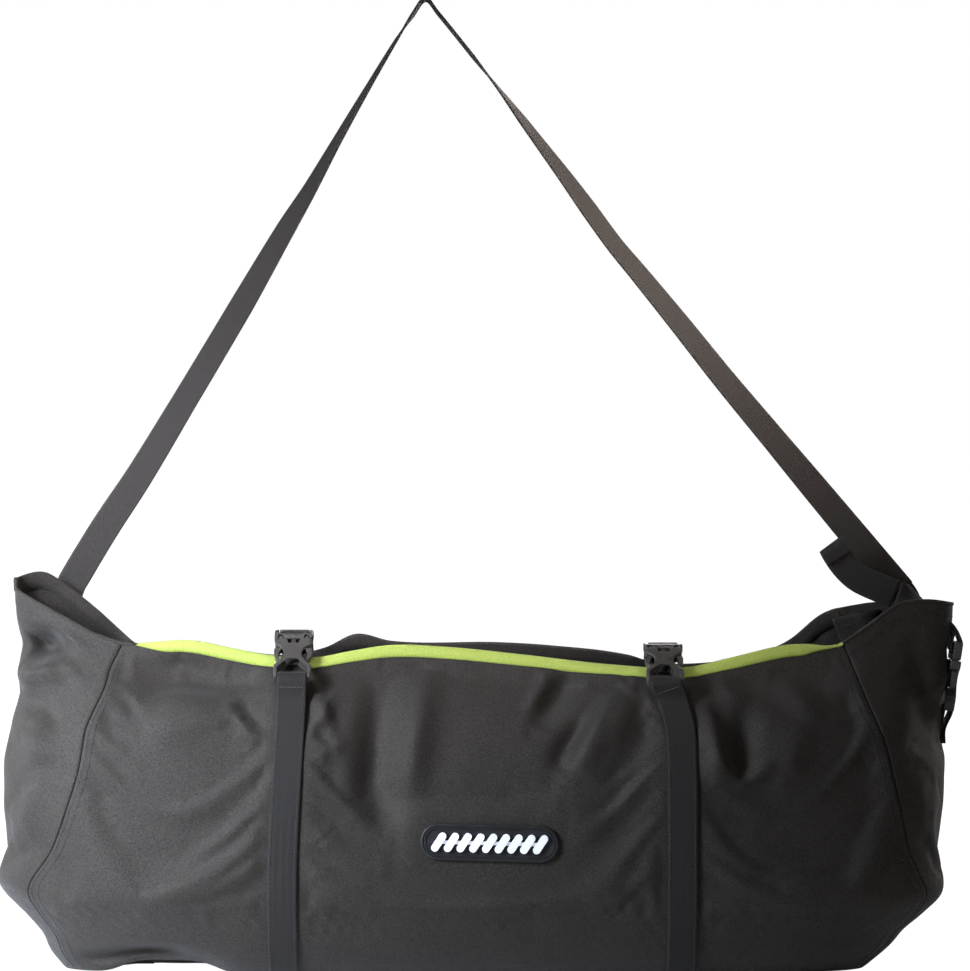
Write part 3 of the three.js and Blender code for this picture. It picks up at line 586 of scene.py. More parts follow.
def stitches(name, lines, thread, slot="webbing", length=2.1, gap=0.9, radius=0.26):
    """Rows of stitches: each line is points and the ways out of the cloth there, in millimetres."""
    points, faces = [], []
    for places, outs in lines:
        places, outs = np.array(places, float), np.array(outs, float)
        run = run_along(places)
        for start in np.arange(0, run[-1] - length, length + gap):
            a, b = (at_run(r, run, places) for r in (start, start + length))
            out = at_run(start, run, outs)
            along = (b - a) / np.linalg.norm(b - a)
            side = np.cross(along, out)
            first = len(points)
            for share, size in ((0, 0.45), (0.2, 1), (0.8, 1), (1, 0.45)):
                for k in range(6):
                    turn = math.pi / 3 * k
                    round_it = side * math.cos(turn) + out * math.sin(turn)
                    sink = 0.18 * (size < 1)
                    points.append(a + (b - a) * share + round_it * radius * size - out * sink)
            for ring in range(3):
                for k in range(6):
                    corner = first + ring * 6 + k
                    beside = first + ring * 6 + (k + 1) % 6
                    faces.append((corner, corner + 6, beside + 6, beside))
            faces += [tuple(first + k for k in range(6)), tuple(first + 23 - k for k in range(6))]
    mesh = bpy.data.meshes.new(name)
    mesh.from_pydata(((np.array(points) + SHIFT) * MM).tolist(), [], faces)
    mesh.polygons.foreach_set("use_smooth", [True] * len(faces))
    finish_piece(new_object(name, mesh), thread, slot, body="root")


def sewn_on(ribbon, paths):
    """Lines for stitches() on a ribbon's face, from paths of [across, along] in millimetres."""
    lines = []
    for path in paths:
        dense = []
        for (w0, r0), (w1, r1) in zip(path[:-1], path[1:]):
            count = max(2, int(math.hypot(w1 - w0, r1 - r0) / 2) + 1)
            dense += [(w0 + (w1 - w0) * t, r0 + (r1 - r0) * t) for t in np.linspace(0, 1, count)]
        placed = [ribbon.place(w, r, ribbon.thickness / 2) for w, r in dense]
        lines.append(([place for place, _ in placed], [out for _, out in placed]))
    return lines


# ---------------- materials

class Finish:
    """A material in the making: its node tree, with short ways to add to it."""

    def __init__(self, name):
        self.material = bpy.data.materials.new(name)
        self.material.use_nodes = True
        self.tree = self.material.node_tree
        self.shader = self.tree.nodes["Principled BSDF"]

    def add(self, kind, **inputs):
        node = self.tree.nodes.new(kind)
        for key, value in inputs.items():
            self.set(node.inputs[key.replace("_", " ")], value)
        return node

    def set(self, socket, value):
        if isinstance(value, bpy.types.NodeSocket):
            self.tree.links.new(value, socket)
        else:
            socket.default_value = value

    def math(self, operation, a, b=0.0, c=0.0):
        node = self.tree.nodes.new("ShaderNodeMath")
        node.operation = operation
        for socket, value in zip(node.inputs, (a, b, c)):
            self.set(socket, value)
        return node.outputs[0]

    def plus(self, a, b):
        return self.math("ADD", a, b)

    def times(self, a, b):
        return self.math("MULTIPLY", a, b)

    def uv(self):
        """The two thread directions, in millimetres."""
        split = self.add("ShaderNodeSeparateXYZ", Vector=self.add("ShaderNodeTexCoord").outputs["UV"])
        return [self.times(split.outputs[i], 1000) for i in (0, 1)]

    def noise(self, scale, detail=2.0, roughness=0.5):
        """Noise with scale bumps to a metre, from 0 to 1."""
        place = self.add("ShaderNodeTexCoord").outputs["Object"]
        node = self.add("ShaderNodeTexNoise", Vector=place, Scale=scale, Detail=detail, Roughness=roughness)
        return node.outputs[0]

    def ramp(self, value, low, high, from_low=0.0, from_high=1.0):
        node = self.add(
            "ShaderNodeMapRange", Value=value, From_Min=from_low, From_Max=from_high, To_Min=low, To_Max=high)
        return node.outputs[0]

    def shade(self, color, amount):
        """A colour made lighter or darker by an amount around 1."""
        node = self.add("ShaderNodeVectorMath")
        node.operation = "SCALE"
        node.inputs[0].default_value = color[:3]
        self.set(node.inputs["Scale"], amount)
        return node.outputs[0]

    def bump(self, height, distance, strength=1.0, onto=None):
        node = self.add("ShaderNodeBump", Height=height, Distance=distance * MM, Strength=strength)
        if onto is not None:
            self.set(node.inputs["Normal"], onto)
        return node.outputs[0]

    def done(self, **inputs):
        for key, value in inputs.items():
            self.set(self.shader.inputs[key.replace("_", " ")], value)
        return self.material


def wave(finish, value, pitch, phase=0.0):
    """A sine along value, one wave to a pitch, from 0 to 1."""
    turned = finish.math("MULTIPLY_ADD", value, 2 * math.pi / pitch, phase)
    return finish.math("MULTIPLY_ADD", finish.math("SINE", turned), 0.5, 0.5)


def fabric_finish(name, color, roughness=0.66):
    """Coated polyester in a plain weave: fine threads, a slight mottle and a soft shine."""
    f = Finish(name)
    u, v = f.uv()
    weave = f.times(wave(f, u, 0.62), wave(f, v, 0.62, 1.2))
    speckle = f.noise(900, 3, 0.7)
    mottle = f.noise(45, 3)
    tone = f.plus(f.ramp(speckle, 0.3, 1.7, 0.32, 0.68), f.ramp(mottle, -0.12, 0.12, 0.3, 0.7))
    grain = f.ramp(speckle, roughness + 0.1, roughness - 0.14, 0.3, 0.7)
    fine = f.bump(f.plus(weave, f.times(speckle, 1.4)), 0.14, 0.8)
    crinkle = f.bump(f.noise(130, 4, 0.6), 0.35, 0.18, fine)
    return f.done(
        Base_Color=f.shade(color, tone), Roughness=f.plus(grain, f.ramp(mottle, -0.03, 0.03)), Normal=crinkle,
        Specular_IOR_Level=0.5, Specular_Tint=(1.0, 0.92, 0.84, 1), Sheen_Weight=0.12, Sheen_Roughness=0.5,
    )


def webbing_finish(name, color, width, roughness=0.7):
    """Woven webbing: a fine herringbone between two plain, ribbed edges."""
    f = Finish(name)
    v, u = f.uv()
    zigzag = f.math("ABSOLUTE", f.math("SUBTRACT", f.math("FRACT", f.math("DIVIDE", u, 5.0)), 0.5))
    twill = wave(f, f.plus(v, f.times(zigzag, 7.0)), 1.5)
    rib = wave(f, v, 1.1)
    face = f.math("FRACT", f.math("DIVIDE", u, width + 0.6))
    middle = f.ramp(f.math("ABSOLUTE", f.math("SUBTRACT", face, 0.5)), 1.0, 0.0, 0.40, 0.43)
    edges = f.times(rib, f.math("SUBTRACT", 1.0, middle))
    height = f.plus(f.times(twill, middle), edges)
    speckle = f.noise(1400, 2)
    tone = f.plus(f.ramp(height, 0.72, 1.12), f.ramp(speckle, -0.22, 0.22, 0.3, 0.7))
    tone = f.plus(tone, f.ramp(middle, 0.22, 0.0))
    bump = f.bump(f.plus(height, f.times(speckle, 0.5)), 0.22, 0.7)
    return f.done(
        Base_Color=f.shade(color, tone), Roughness=f.ramp(speckle, roughness - 0.07, roughness + 0.07),
        Normal=bump, Sheen_Weight=0.12, Sheen_Roughness=0.4, Specular_IOR_Level=0.35,
    )


def tape_finish(name, color):
    """Woven binding tape: fine ribs across it."""
    f = Finish(name)
    u, v = f.uv()
    ribs = f.times(wave(f, u, 0.9), wave(f, v, 0.7))
    speckle = f.noise(1200, 2)
    tone = f.plus(f.ramp(ribs, 0.86, 1.06), f.ramp(speckle, -0.12, 0.12, 0.3, 0.7))
    bump = f.bump(f.plus(ribs, f.times(speckle, 0.6)), 0.16, 0.6)
    return f.done(
        Base_Color=f.shade(color, tone), Roughness=0.72, Normal=bump, Sheen_Weight=0.15,
        Specular_IOR_Level=0.3,
    )


def plastic_finish(name, color, roughness, grain=0.5):
    """Moulded acetal or rubber: a faint pebbled skin, a cloudy tone that differs at random, and a painted
    highlight that lightens its sharp edges.
    """
    f = Finish(name)
    pebble = f.noise(2600, 2)
    cloud = f.noise(160, 3)
    edge = f.add("ShaderNodeNewGeometry").outputs["Pointiness"]
    # Convex edges, found by pointiness, are painted lighter as a painted highlight along the edges.
    tone = f.plus(f.ramp(cloud, 0.85, 1.15, 0.3, 0.7), f.ramp(edge, 0.0, 0.7, 0.5, 0.62))
    rough = f.ramp(cloud, roughness - 0.06, roughness + 0.08, 0.3, 0.7)
    return f.done(
        Base_Color=f.shade(color, tone), Roughness=rough, Normal=f.bump(pebble, 0.05, grain),
        Specular_IOR_Level=0.5,
    )


def thread_finish(name, color):
    f = Finish(name)
    twist = f.noise(3500, 1)
    color = f.shade(color, f.ramp(twist, 0.7, 1.3, 0.3, 0.7))
    return f.done(Base_Color=color, Roughness=0.6, Normal=f.bump(twist, 0.08))


FABRIC_FINISH = fabric_finish("panel_fabric_coated", (0.0214, 0.0176, 0.0141, 1))
WEBBING_FINISH = webbing_finish("webbing_20", (0.0235, 0.0203, 0.0178, 1), BAND_WIDTH)
CARRY_FINISH = webbing_finish("webbing_21", (0.031, 0.0245, 0.0205, 1), CARRY_WIDTH)
LIME_FINISH = tape_finish("lime_tape", (0.52, 0.62, 0.12, 1))
PLASTIC_FINISH = plastic_finish("buckle_plastic", (0.060, 0.054, 0.048, 1), 0.3)
RUBBER_FINISH = plastic_finish("badge_rubber", (0.018, 0.018, 0.019, 1), 0.5)
PRINT_FINISH = plastic_finish("badge_print", (0.84, 0.84, 0.83, 1), 0.5, 0.25)
DARK_THREAD = thread_finish("dark_thread", (0.03, 0.03, 0.032, 1))
PALE_THREAD = thread_finish("pale_thread", (0.13, 0.125, 0.12, 1))
LIME_THREAD = thread_finish("lime_thread", (0.50, 0.70, 0.06, 1))


# ---------------- the fabric shell

shell = folded(shell_grid())
shell = settled(shell)
shell = crumpled(finer(shell, True))
FINE_FLOOR = 2 * WALL_ROWS - 2  # the row where the walls end and the floor begins
SEAM_TUCK = 1.3  # how deep a panel's edge turns in at a seam
SEAM_TAPE = 12  # width of the strip inside it
shell_outs = grid_normals(shell)


def columns_between(start, count):
    return np.arange(2 * start, 2 * (start + count) + 1) % shell.shape[1]


def panel(name, start, count, node, slot="panel_fabric"):
    """One sewn panel of the walls, with its side edges turned in."""
    columns = columns_between(start, count)
    points = shell[: FINE_FLOOR + 1, columns].copy()
    outs = shell_outs[: FINE_FLOOR + 1, columns]
    # Two more columns by each seam keep its groove narrow.
    first, last = points[:, :1].copy(), points[:, -1:].copy()
    near = [first + (points[:, 1:2] - first) * share for share in (0.12, 0.4)]
    far = [last + (points[:, -2:-1] - last) * share for share in (0.4, 0.12)]
    first, last = first - outs[:, :1] * SEAM_TUCK, last - outs[:, -1:] * SEAM_TUCK
    points = np.concatenate([first, *near, points[:, 1:-1], *far, last], axis=1)
    obj = grid_mesh(name, points, cloth_uvs(points))
    return finish_piece(thicken(obj, FABRIC), FABRIC_FINISH, slot, node, body="root")


def bottom():
    points = np.concatenate([shell[FINE_FLOOR:], shell[FINE_FLOOR:, :1]], axis=1)
    obj = grid_mesh("bottom", points, points[..., :2])
    edit_mesh(obj, lambda work: bmesh.ops.remove_doubles(work, verts=work.verts, dist=0.05 * MM))
    return finish_piece(thicken(obj, FABRIC, 0), FABRIC_FINISH, "panel_fabric", "bottom_panel", body="root")


panel("front", FRONT_START, LONG_COLUMNS, "front_panel")
panel("right_end", RIGHT_START, END_COLUMNS, "right_end_panel")
panel("back", BACK_START, LONG_COLUMNS, "back_panel")
panel("left_end", LEFT_START, END_COLUMNS, "left_end_panel")
bottom()


def seam_tape(name, seam):
    """The strip that is sewn over a seam's raw edges, inside the bag."""
    columns = (np.arange(-2, 3) + 2 * seam) % shell.shape[1]
    rows = slice(2, FINE_FLOOR + 1)
    points = shell[rows, columns] - shell_outs[rows, columns] * (FABRIC + SEAM_TUCK + 0.3)
    middle = points[:, 2:3]
    half = np.linalg.norm(points[:, -1:] - middle, axis=-1, keepdims=True)
    points = middle + (points - middle) * SEAM_TAPE / 2 / np.maximum(half, 1e-6)
    obj = grid_mesh(name, points, cloth_uvs(points))
    return finish_piece(thicken(obj, 0.7, 0), FABRIC_FINISH, "panel_fabric", body="root")


for number, seam in enumerate(SEAM_COLUMNS):
    seam_tape(f"seam_tape_{number}", seam)


def below_rim(column, depth):
    """The place on the shell so far below the rim, along a column, and the way out there."""
    points, outs = shell[:14, column], shell_outs[:14, column]
    run = run_along(points)
    depth = np.asarray(depth, float)
    above = np.minimum(depth, 0)[..., None] * (points[1] - points[0]) / run[1]
    return at_run(depth, run, points) + above, at_run(depth, run, outs)


def rim_fold(name, columns, heights, inner_heights, thickness, finish, slot, *nodes):
    """A band folded over the rim of the cloth: tape, or the cloth's own hem."""
    t = thickness
    section = []
    for height, inner in zip(heights, inner_heights):
        top, inner_top = min(1.0, height / 4), min(1.0, inner / 4)
        section.append([
            (0.12, height), (t * 0.8, height), (t * 1.15, height * 0.55), (t, top), (t * 0.45, -0.35 - t / 2),
            (-0.7, -0.6 - t / 2), (-1.5 - t * 0.45, -0.35 - t / 2), (-1.45 - t, inner_top),
            (-1.5 - t, inner * 0.55), (-1.45 - t * 0.9, inner + 0.6), (-1.5, inner + 0.6), (-1.42, inner_top),
            (0.02, top),
        ])
    section = np.array(section)
    points = []
    for column, loop in zip(columns, section):
        place, out = below_rim(column, loop[:, 1])
        points.append(place + out * loop[:, :1])
    points = np.array(points)
    turn = run_along(section[len(section) // 2])
    uvs = np.stack(np.broadcast_arrays(run_along(points[:, 0])[:, None], turn[None, :]), axis=-1)
    obj = grid_mesh(name, points, uvs, turn[-1])
    close_ends(obj, section.shape[1], turned=True)
    return finish_piece(obj, finish, slot, *nodes, body="root")


def rim_line(columns, depths, lift):
    """A line for stitches() along the rim."""
    placed = [below_rim(column, depth) for column, depth in zip(columns, depths)]
    return [place + out * lift for place, out in placed], [out for _, out in placed]


HEM = 11  # how far the hem reaches down inside the bag
HEM_OUTSIDE = 1.3
HEM_THICKNESS = 0.55
TAPE_THICKNESS = 0.9


def mouth_tape(columns):
    """The lime tape over the front rim, which narrows toward both ends."""
    x = shell[0, columns, 0]
    height = 1.2 + (RIM_TAPE - 1.2) * smoothstep(-240, -208, x) * (1 - smoothstep(218, 246, x))
    lime, wide = x > TAPE_START, height > 5
    rim_fold(
        "mouth_tape", columns[lime], height[lime], height[lime], TAPE_THICKNESS, LIME_FINISH, "lime_tape",
        "front_mouth_binding")
    lines = [rim_line(columns[wide], height[wide] - 1.3, 0.85)]
    stitches("tape_stitches", lines, LIME_THREAD, "lime_tape")


def hem(name, columns, *nodes):
    outside, inside = [HEM_OUTSIDE] * len(columns), [HEM] * len(columns)
    rim_fold(name, columns, outside, inside, HEM_THICKNESS, FABRIC_FINISH, "panel_fabric", *nodes)
    return rim_line(columns, [HEM - 1.6] * len(columns), 0.12)


def seam_stitches():
    """Two rows of topstitching beside each end seam, on the long panels."""
    rows = slice(5, FINE_FLOOR)
    lines = []
    for seam, way in zip(SEAM_COLUMNS, (1, -1, 1, -1)):
        for beside in (1, 3):
            column = (2 * seam + way * beside) % shell.shape[1]
            outs = shell_outs[rows, column]
            lines.append((shell[rows, column] + outs * 0.1, outs))
    stitches("seam_stitches", lines, DARK_THREAD, "panel_fabric", radius=0.3)


front_columns = columns_between(FRONT_START, LONG_COLUMNS)
beside_tape = front_columns[shell[0, front_columns, 0] <= TAPE_START]
left_columns = np.concatenate([columns_between(LEFT_START, END_COLUMNS)[:-1], beside_tape])
mouth_tape(front_columns)
hem_lines = [
    hem("back_hem", columns_between(BACK_START, LONG_COLUMNS), "back_mouth_binding"),
    hem("left_ear_hem", left_columns),
    hem("right_ear_hem", columns_between(RIGHT_START, END_COLUMNS)),
]
stitches("hem_stitches", hem_lines, DARK_THREAD, "panel_fabric")
seam_stitches()


# ---------------- straps

ALONG_X, ALONG_Y = np.array([1.0, 0, 0]), np.array([0, 1.0, 0])
LYING = 0.2  # the gap between webbing and what it lies on
DOUBLED = WEBBING + 0.4
ROUND_BAR = 1.4 + 0.4 + WEBBING / 2
AROUND_BAR = [
    (-3.4, -ROUND_BAR - 0.2), (-0.5, -ROUND_BAR), (2.1, -0.8 * ROUND_BAR), (3, 0),
    (2.1, 0.8 * ROUND_BAR), (-0.5, ROUND_BAR), (-3.4, ROUND_BAR + 0.1),
]
INTO_LOCK = [(47.4, -4.4), (42.3, -4.2), (40.3, -3.7), (39.15, -2.4)]
THROUGH_LOCK = [(39.05, -1.5), (39.05, 0.3), (39.7, 1.8), (41.3, 2.4), (43.7, 2.4), (46.1, 2.2)]


def unit(vector):
    vector = np.asarray(vector, float)
    return vector / np.linalg.norm(vector)


def front_buckle(name, pairs):
    """Points in a front buckle's plane: so far along it, and out of its face."""
    y, z = FRONT_BUCKLES[name]["bar"]
    lean = math.radians(FRONT_BUCKLES[name]["lean"])
    along = np.array([0, math.sin(lean), math.cos(lean)])
    out = np.array([0, -math.cos(lean), math.sin(lean)])
    return [np.array([BANDS[name][1], y, z]) + along * u + out * t for u, t in pairs]


def sloped(pairs):
    """The same pairs where the male's bars slope down."""
    c, s = math.cos(FRONT_SLOPE), math.sin(FRONT_SLOPE)
    return [(LADDER_START + (u - LADDER_START) * c + t * s, t * c - (u - LADDER_START) * s) for u, t in pairs]


def end_buckle(pairs):
    along = np.array([math.sin(END_LEAN), 0, math.cos(END_LEAN)])
    out = np.array([math.cos(END_LEAN), 0, -math.sin(END_LEAN)])
    return [END_BAR + along * u + out * t for u, t in pairs]


def crossing(points, across):
    return [(point, across) for point in points]


def on_wall(x, z, side, layers=0.0):
    """A stop for a strap that lies on the wall, lifted by so many millimetres of what is under it."""
    def depth(x0, z0):
        return side * across_share(x0 / length_at(x0, z0)) * half_depth(z0)

    slope_x = depth(x + 0.5, z) - depth(x - 0.5, z)
    slope_z = depth(x, z + 0.5) - depth(x, z - 0.5)
    out = unit([-slope_x, 1, -slope_z]) * side
    return np.array([x, depth(x, z), z]) + out * (LYING + WEBBING / 2 + layers), unit([1, slope_x, 0])


def boxed(w, start, end):
    """A sewn box with a cross in it, as [across, along] paths."""
    box = [(-w, start), (w, start), (w, end), (-w, end), (-w, start)]
    return [box, [(-w, start), (w, end)], [(w, start), (-w, end)]]


def webbing(ribbon, name, *nodes, body=None, finish=WEBBING_FINISH):
    return finish_piece(ribbon.mesh(name), finish, "webbing", *nodes, body=body)


BAND_LEVELS = [10, 20, 35, 55, 80, 110, 135, 158]  # the heights of a band's stops on each wall
SEWN_BACK = 46  # how far a band's doubled end runs before the band is single


def on_band(name, z, side, layers=0.0):
    return on_wall(float(band_x(name, z)), z, side, layers)


def band(name):
    """The band: round the buckle's bar, down the front, under the bag and up the back."""
    under = [(BANDS[name][0], y, WEBBING / 2 + 0.1) for y in (-42, -32, -12, 12, 32, 42)]
    stops = [on_band(name, 183, -1), on_band(name, 190, -1, 0.3)]
    stops += crossing(front_buckle(name, AROUND_BAR), ALONG_X)
    stops += [on_band(name, 190, -1, DOUBLED + 0.9), on_band(name, 183, -1, DOUBLED)]
    stops += [on_band(name, 178, -1, DOUBLED - 0.3), on_band(name, 170, -1, 0.5)]
    stops += [on_band(name, z, -1) for z in [*BAND_LEVELS[-2::-1], 3.4]]
    stops += crossing(under, ALONG_X)
    stops += [on_band(name, z, 1) for z in [3.4, *BAND_LEVELS, 180, 196]]
    ribbon = Ribbon(stops, BAND_WIDTH)
    webbing(ribbon, f"{name}_band", f"{name}_webbing_band", body="root")
    inset = BAND_WIDTH / 2 - 1.7
    edges = [[(side * inset, SEWN_BACK), (side * inset, ribbon.length - 14)] for side in (-1, 1)]
    stitches(f"{name}_band_stitches", sewn_on(ribbon, edges), DARK_THREAD)
    tack = sewn_on(ribbon, [[(-8, SEWN_BACK - 4), (8, SEWN_BACK - 4)]])
    stitches(f"{name}_band_tack", tack, PALE_THREAD, length=1.3, gap=0.7, radius=0.32)


def facing(name):
    """A short strip of dark webbing behind the buckle, over the lime tape, so that the buckle's window shows
    dark.
    """
    levels = (194, 201, 207, float(front_rim(BANDS[name][1])) - 2.5)
    ribbon = Ribbon([on_band(name, z, -1, 1.0) for z in levels], BAND_WIDTH - 3, 0.9)
    webbing(ribbon, f"{name}_facing", body="root")


def over_strap(name):
    """The strap over the mouth, from the back wall to the buckle, and its tail, back over it."""
    x = BANDS[name][1]
    over = [np.array([x, y, z]) for y, z in FRONT_BUCKLES[name]["over"]]
    stops = [on_wall(x, z, 1, lift) for z, lift in ((180, 1.9), (190, 1.9), (197, 1.8), (203, 1.6))]
    stops += crossing(over + front_buckle(name, sloped(INTO_LOCK)), ALONG_X)
    top = Ribbon(stops, BAND_WIDTH)
    strap = webbing(top, f"{name}_top", f"{name}_top_strap")
    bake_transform(strap)
    stitches(f"{name}_top_stitches", sewn_on(top, boxed(7.5, 2.5, 17)), DARK_THREAD)

    free = [point + np.array([0, 0.7, 2.3]) for point in over[::-1]]
    free.append(free[-1] + np.array([0, 8, -9]))
    tail = Ribbon(crossing(front_buckle(name, sloped(THROUGH_LOCK)) + free, ALONG_X), BAND_WIDTH)
    webbing(tail, f"{name}_tail", f"{name}_strap_tail", body=f"{name}_male_body")


for name in BANDS:
    band(name)
    facing(name)
    over_strap(name)


def facing_front(start, end):
    """Across a strap where it faces the front: square to its run."""
    return unit(np.cross(end - start, ALONG_Y))


def turned_to(across, share):
    return unit(across + (ALONG_Y - across) * share)


def between(a, b, share):
    return a + (b - a) * share


def stretch(start, end, across, rows):
    """Stops between two places, from rows of how far on, how far aside and how much turned each one is."""
    return [(between(start, end, on) + ALONG_X * aside, turned_to(across, turn)) for on, aside, turn in rows]


CARRY_KNEE = np.array([90, 13, 512])  # where the shoulder strap bends on its way down to the right
LEFT_ACROSS, RIGHT_ACROSS = facing_front(CARRY_LEFT, CARRY_TOP), facing_front(CARRY_TOP, CARRY_RIGHT)
TWISTED, NEARLY_FLAT, TAIL_FACING = unit([0.6, 0.5, 0.5]), unit([0.15, 0.95, 0.15]), unit([0.6, 0, 0.8])
TAIL_START, TAIL_WAY = np.array([291, -7, 262]), np.array([-0.93, -0.07, 0.36])


def shoulder_strap():
    """Up from where it is sewn to the back of the left ear, over the top and down to the right."""
    sewn_end = [on_wall(x, z, 1, lift) for x, z, lift in (
        (-286, 211, 0.2), (-287, 223, 0.3), (-288, 235, 0.8), (-289, 246, 1.4), (-290, 257, 2.2))]
    stops = [(place, -across) for place, across in sewn_end]
    stops += [((-288, 31, 268), unit([-0.9, 0.1, 0.42])), (CARRY_LEFT, LEFT_ACROSS)]
    stops += stretch(CARRY_LEFT, CARRY_TOP, LEFT_ACROSS, [
        (0.08, 0, 0.12), (0.17, 2, 0.26), (0.3, 2, 0.36), (0.47, 1.4, 0.4), (0.6, 0, 0.52), (0.67, 0, 0.63),
        (0.75, -1.4, 0.73), (0.85, -2.4, 0.82), (0.93, -2.6, 0.88)])
    stops += [(CARRY_TOP + offset, ALONG_Y) for offset in ([-9, 0, -12], [0, 0, -WEBBING / 2], [9, 0, -11])]
    stops += stretch(CARRY_TOP, CARRY_KNEE, RIGHT_ACROSS, [
        (0.25, 2.4, 1), (0.39, 3.4, 0.88), (0.51, 3.6, 0.76), (0.63, 3.6, 0.7), (0.75, 3.6, 0.64),
        (0.88, 3, 0.58)])
    stops += stretch(CARRY_KNEE, CARRY_RIGHT, RIGHT_ACROSS, [
        (0.02, 2, 0.57), (0.1, 2, 0.54), (0.24, 1.4, 0.49), (0.4, 0, 0.44), (0.57, 0, 0.38), (0.73, 0, 0.28),
        (0.9, 0, 0.15), (0.998, 0, 0)])
    carry = Ribbon(stops, CARRY_WIDTH)
    strap = webbing(
        carry, "carry_strap", "shoulder_strap", "shoulder_strap_left_end", finish=CARRY_FINISH)
    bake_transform(strap)
    stitches("carry_end_stitches", sewn_on(carry, boxed(8, 3, 22)), DARK_THREAD)


def adjuster_strap():
    """From the shoulder strap's right end down into the end buckle."""
    stops = [(between(CARRY_RIGHT, CARRY_KNEE, 0.018) + np.array([0, 1.8, 0]), RIGHT_ACROSS)]
    stops += [(CARRY_RIGHT + np.array([1.2, 1.6, -1.6]), RIGHT_ACROSS)]
    stops += [((303.4, 4.4, 253.4), TWISTED), ((311, 2, 245.6), NEARLY_FLAT)]
    stops += crossing([(320, 0, 241), (327, 0, 238.8), (331, 0, 236.4)], ALONG_Y)
    stops += crossing(end_buckle([(51, -4), *INTO_LOCK]), ALONG_Y)
    adjuster = webbing(Ribbon(stops, BAND_WIDTH), "adjuster", "adjuster_strap")
    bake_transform(adjuster)


def adjuster_run():
    """On from the end buckle, back up to where the tail hangs free."""
    stops = crossing(end_buckle(THROUGH_LOCK), ALONG_Y)
    stops += crossing([(333.2, 0, 237.6), (329.5, 0, 241.9), (322, -1, 245.6)], ALONG_Y)
    stops += [((313, -4, 253.6), NEARLY_FLAT), (TAIL_START - TAIL_WAY * 11, TWISTED)]
    stops += [(TAIL_START - TAIL_WAY * 1.6, TAIL_FACING)]
    run = webbing(Ribbon(stops, BAND_WIDTH), "adjuster_run", "adjuster_tail_run")
    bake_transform(run)


def adjuster_tail():
    """The free end, with its tip folded over."""
    stops = [(TAIL_START, TAIL_FACING)]
    stops += [(place, unit(across)) for place, across in (
        ((278, -8, 267), (0.45, 0, 0.9)), ((264, -9, 274), (0.6, 0, 0.8)), ((254, -10, 284), (0.7, 0, 0.7)),
        ((247, -11, 295), (0.8, 0, 0.6)), ((246, -12.6, 297), (0.8, 0, 0.6)),
        ((247, -14, 295), (0.8, 0, 0.6)), ((252, -13.2, 287), (0.75, 0, 0.65)))]
    webbing(Ribbon(stops, BAND_WIDTH), "adjuster_end", "adjuster_tail", body="shoulder_strap_body")


def on_end(z, layer=0.0):
    """A place where webbing lies on the middle of the right end."""
    return float(right_length(z)) + LYING + WEBBING / 2 + layer, 0, z


def end_anchor():
    """The webbing round the end buckle's bar, sewn to the right end."""
    doubled = [on_end(168, DOUBLED + 0.5), on_end(158, DOUBLED)]
    points = [on_end(158), on_end(168), *end_buckle(AROUND_BAR), *doubled]
    anchor = Ribbon(crossing(points, ALONG_Y), BAND_WIDTH)
    webbing(anchor, "end_anchor", "end_buckle_anchor", body="root")


FLOOR_TOP = FLOOR_GAP + FABRIC + 0.4
TIE_IN_WIDTH = 15
# The tie-in loop's line, as how far inwards and how far up each place is.
TIE_LOOP = [
    (1.4, 2), (6, 1.4), (14, 1.2), (28, 1.2), (42, 1.6), (49, 5), (47, 10.5), (38, 13), (24, 11.5), (11, 7.5),
    (2.4, 4.6),
]


def tie_in(name, x):
    """A loop for the rope's end, lying on the floor inside the bag, and the tab that holds it."""
    inwards = -math.copysign(1, x)
    places = [(x + inwards * along, 0, FLOOR_TOP + up) for along, up in TIE_LOOP]
    loop = Ribbon(crossing(places, ALONG_Y), TIE_IN_WIDTH)
    webbing(loop, f"{name}_tie_loop", f"{name}_tie_in_loop", body=f"{name}_tie_in_body")
    ends = [(x - inwards * along, 0, FLOOR_TOP + WEBBING / 2) for along in (1, 7, 13)]
    tab = Ribbon(crossing(ends, ALONG_Y), TIE_IN_WIDTH)
    webbing(tab, f"{name}_tie_tab", f"{name}_tie_in_tab", body="root")


shoulder_strap()
adjuster_strap()
adjuster_run()
adjuster_tail()
end_anchor()
tie_in("left", -225)
tie_in("right", 215)


# ---------------- buckles and badge

def dress_moulded_nodes():
    """Gives the frame's own buckle parts and badge mark soft edges and a finish."""
    for name, node in frame["nodes"].items():
        mark = name == "badge_mark"
        if not mark and ("_buckle_" not in name or "anchor" in name):
            continue
        node.data.polygons.foreach_set("use_smooth", [True] * len(node.data.polygons))
        node.data.set_sharp_from_angle(angle=math.radians(32))
        bevel = node.modifiers.new("Bevel", "BEVEL")
        bevel.width = 0.3 * MM
        bevel.segments = 2
        bevel.angle_limit = math.radians(40)
        bevel.harden_normals = True
        node.data.materials.clear()
        node.data.materials.append(PRINT_FINISH if mark else PLASTIC_FINISH)


def stadium(length, height, steps=14):
    """Points round a stadium's outline, from the lower right."""
    straight, radius = (length - height) / 2, height / 2
    turns = [-math.pi / 2 + math.pi * k / steps for k in range(steps + 1)]
    right = [(straight + radius * math.cos(t), radius * math.sin(t)) for t in turns]
    return right + [(-x, -y) for x, y in right]


# The badge's profile, as how far in from its edge and how far up each corner is.
BADGE_SECTION = [
    (0, 0), (0, 1.2), (0.35, 1.75), (0.9, 2.0), (1.7, 2.0), (2.0, 1.5), (2.5, 1.5), (2.8, 1.95), (3.5, 1.95),
    (3.8, 1.25), (6, 1.2), (9.5, 1.2),
]


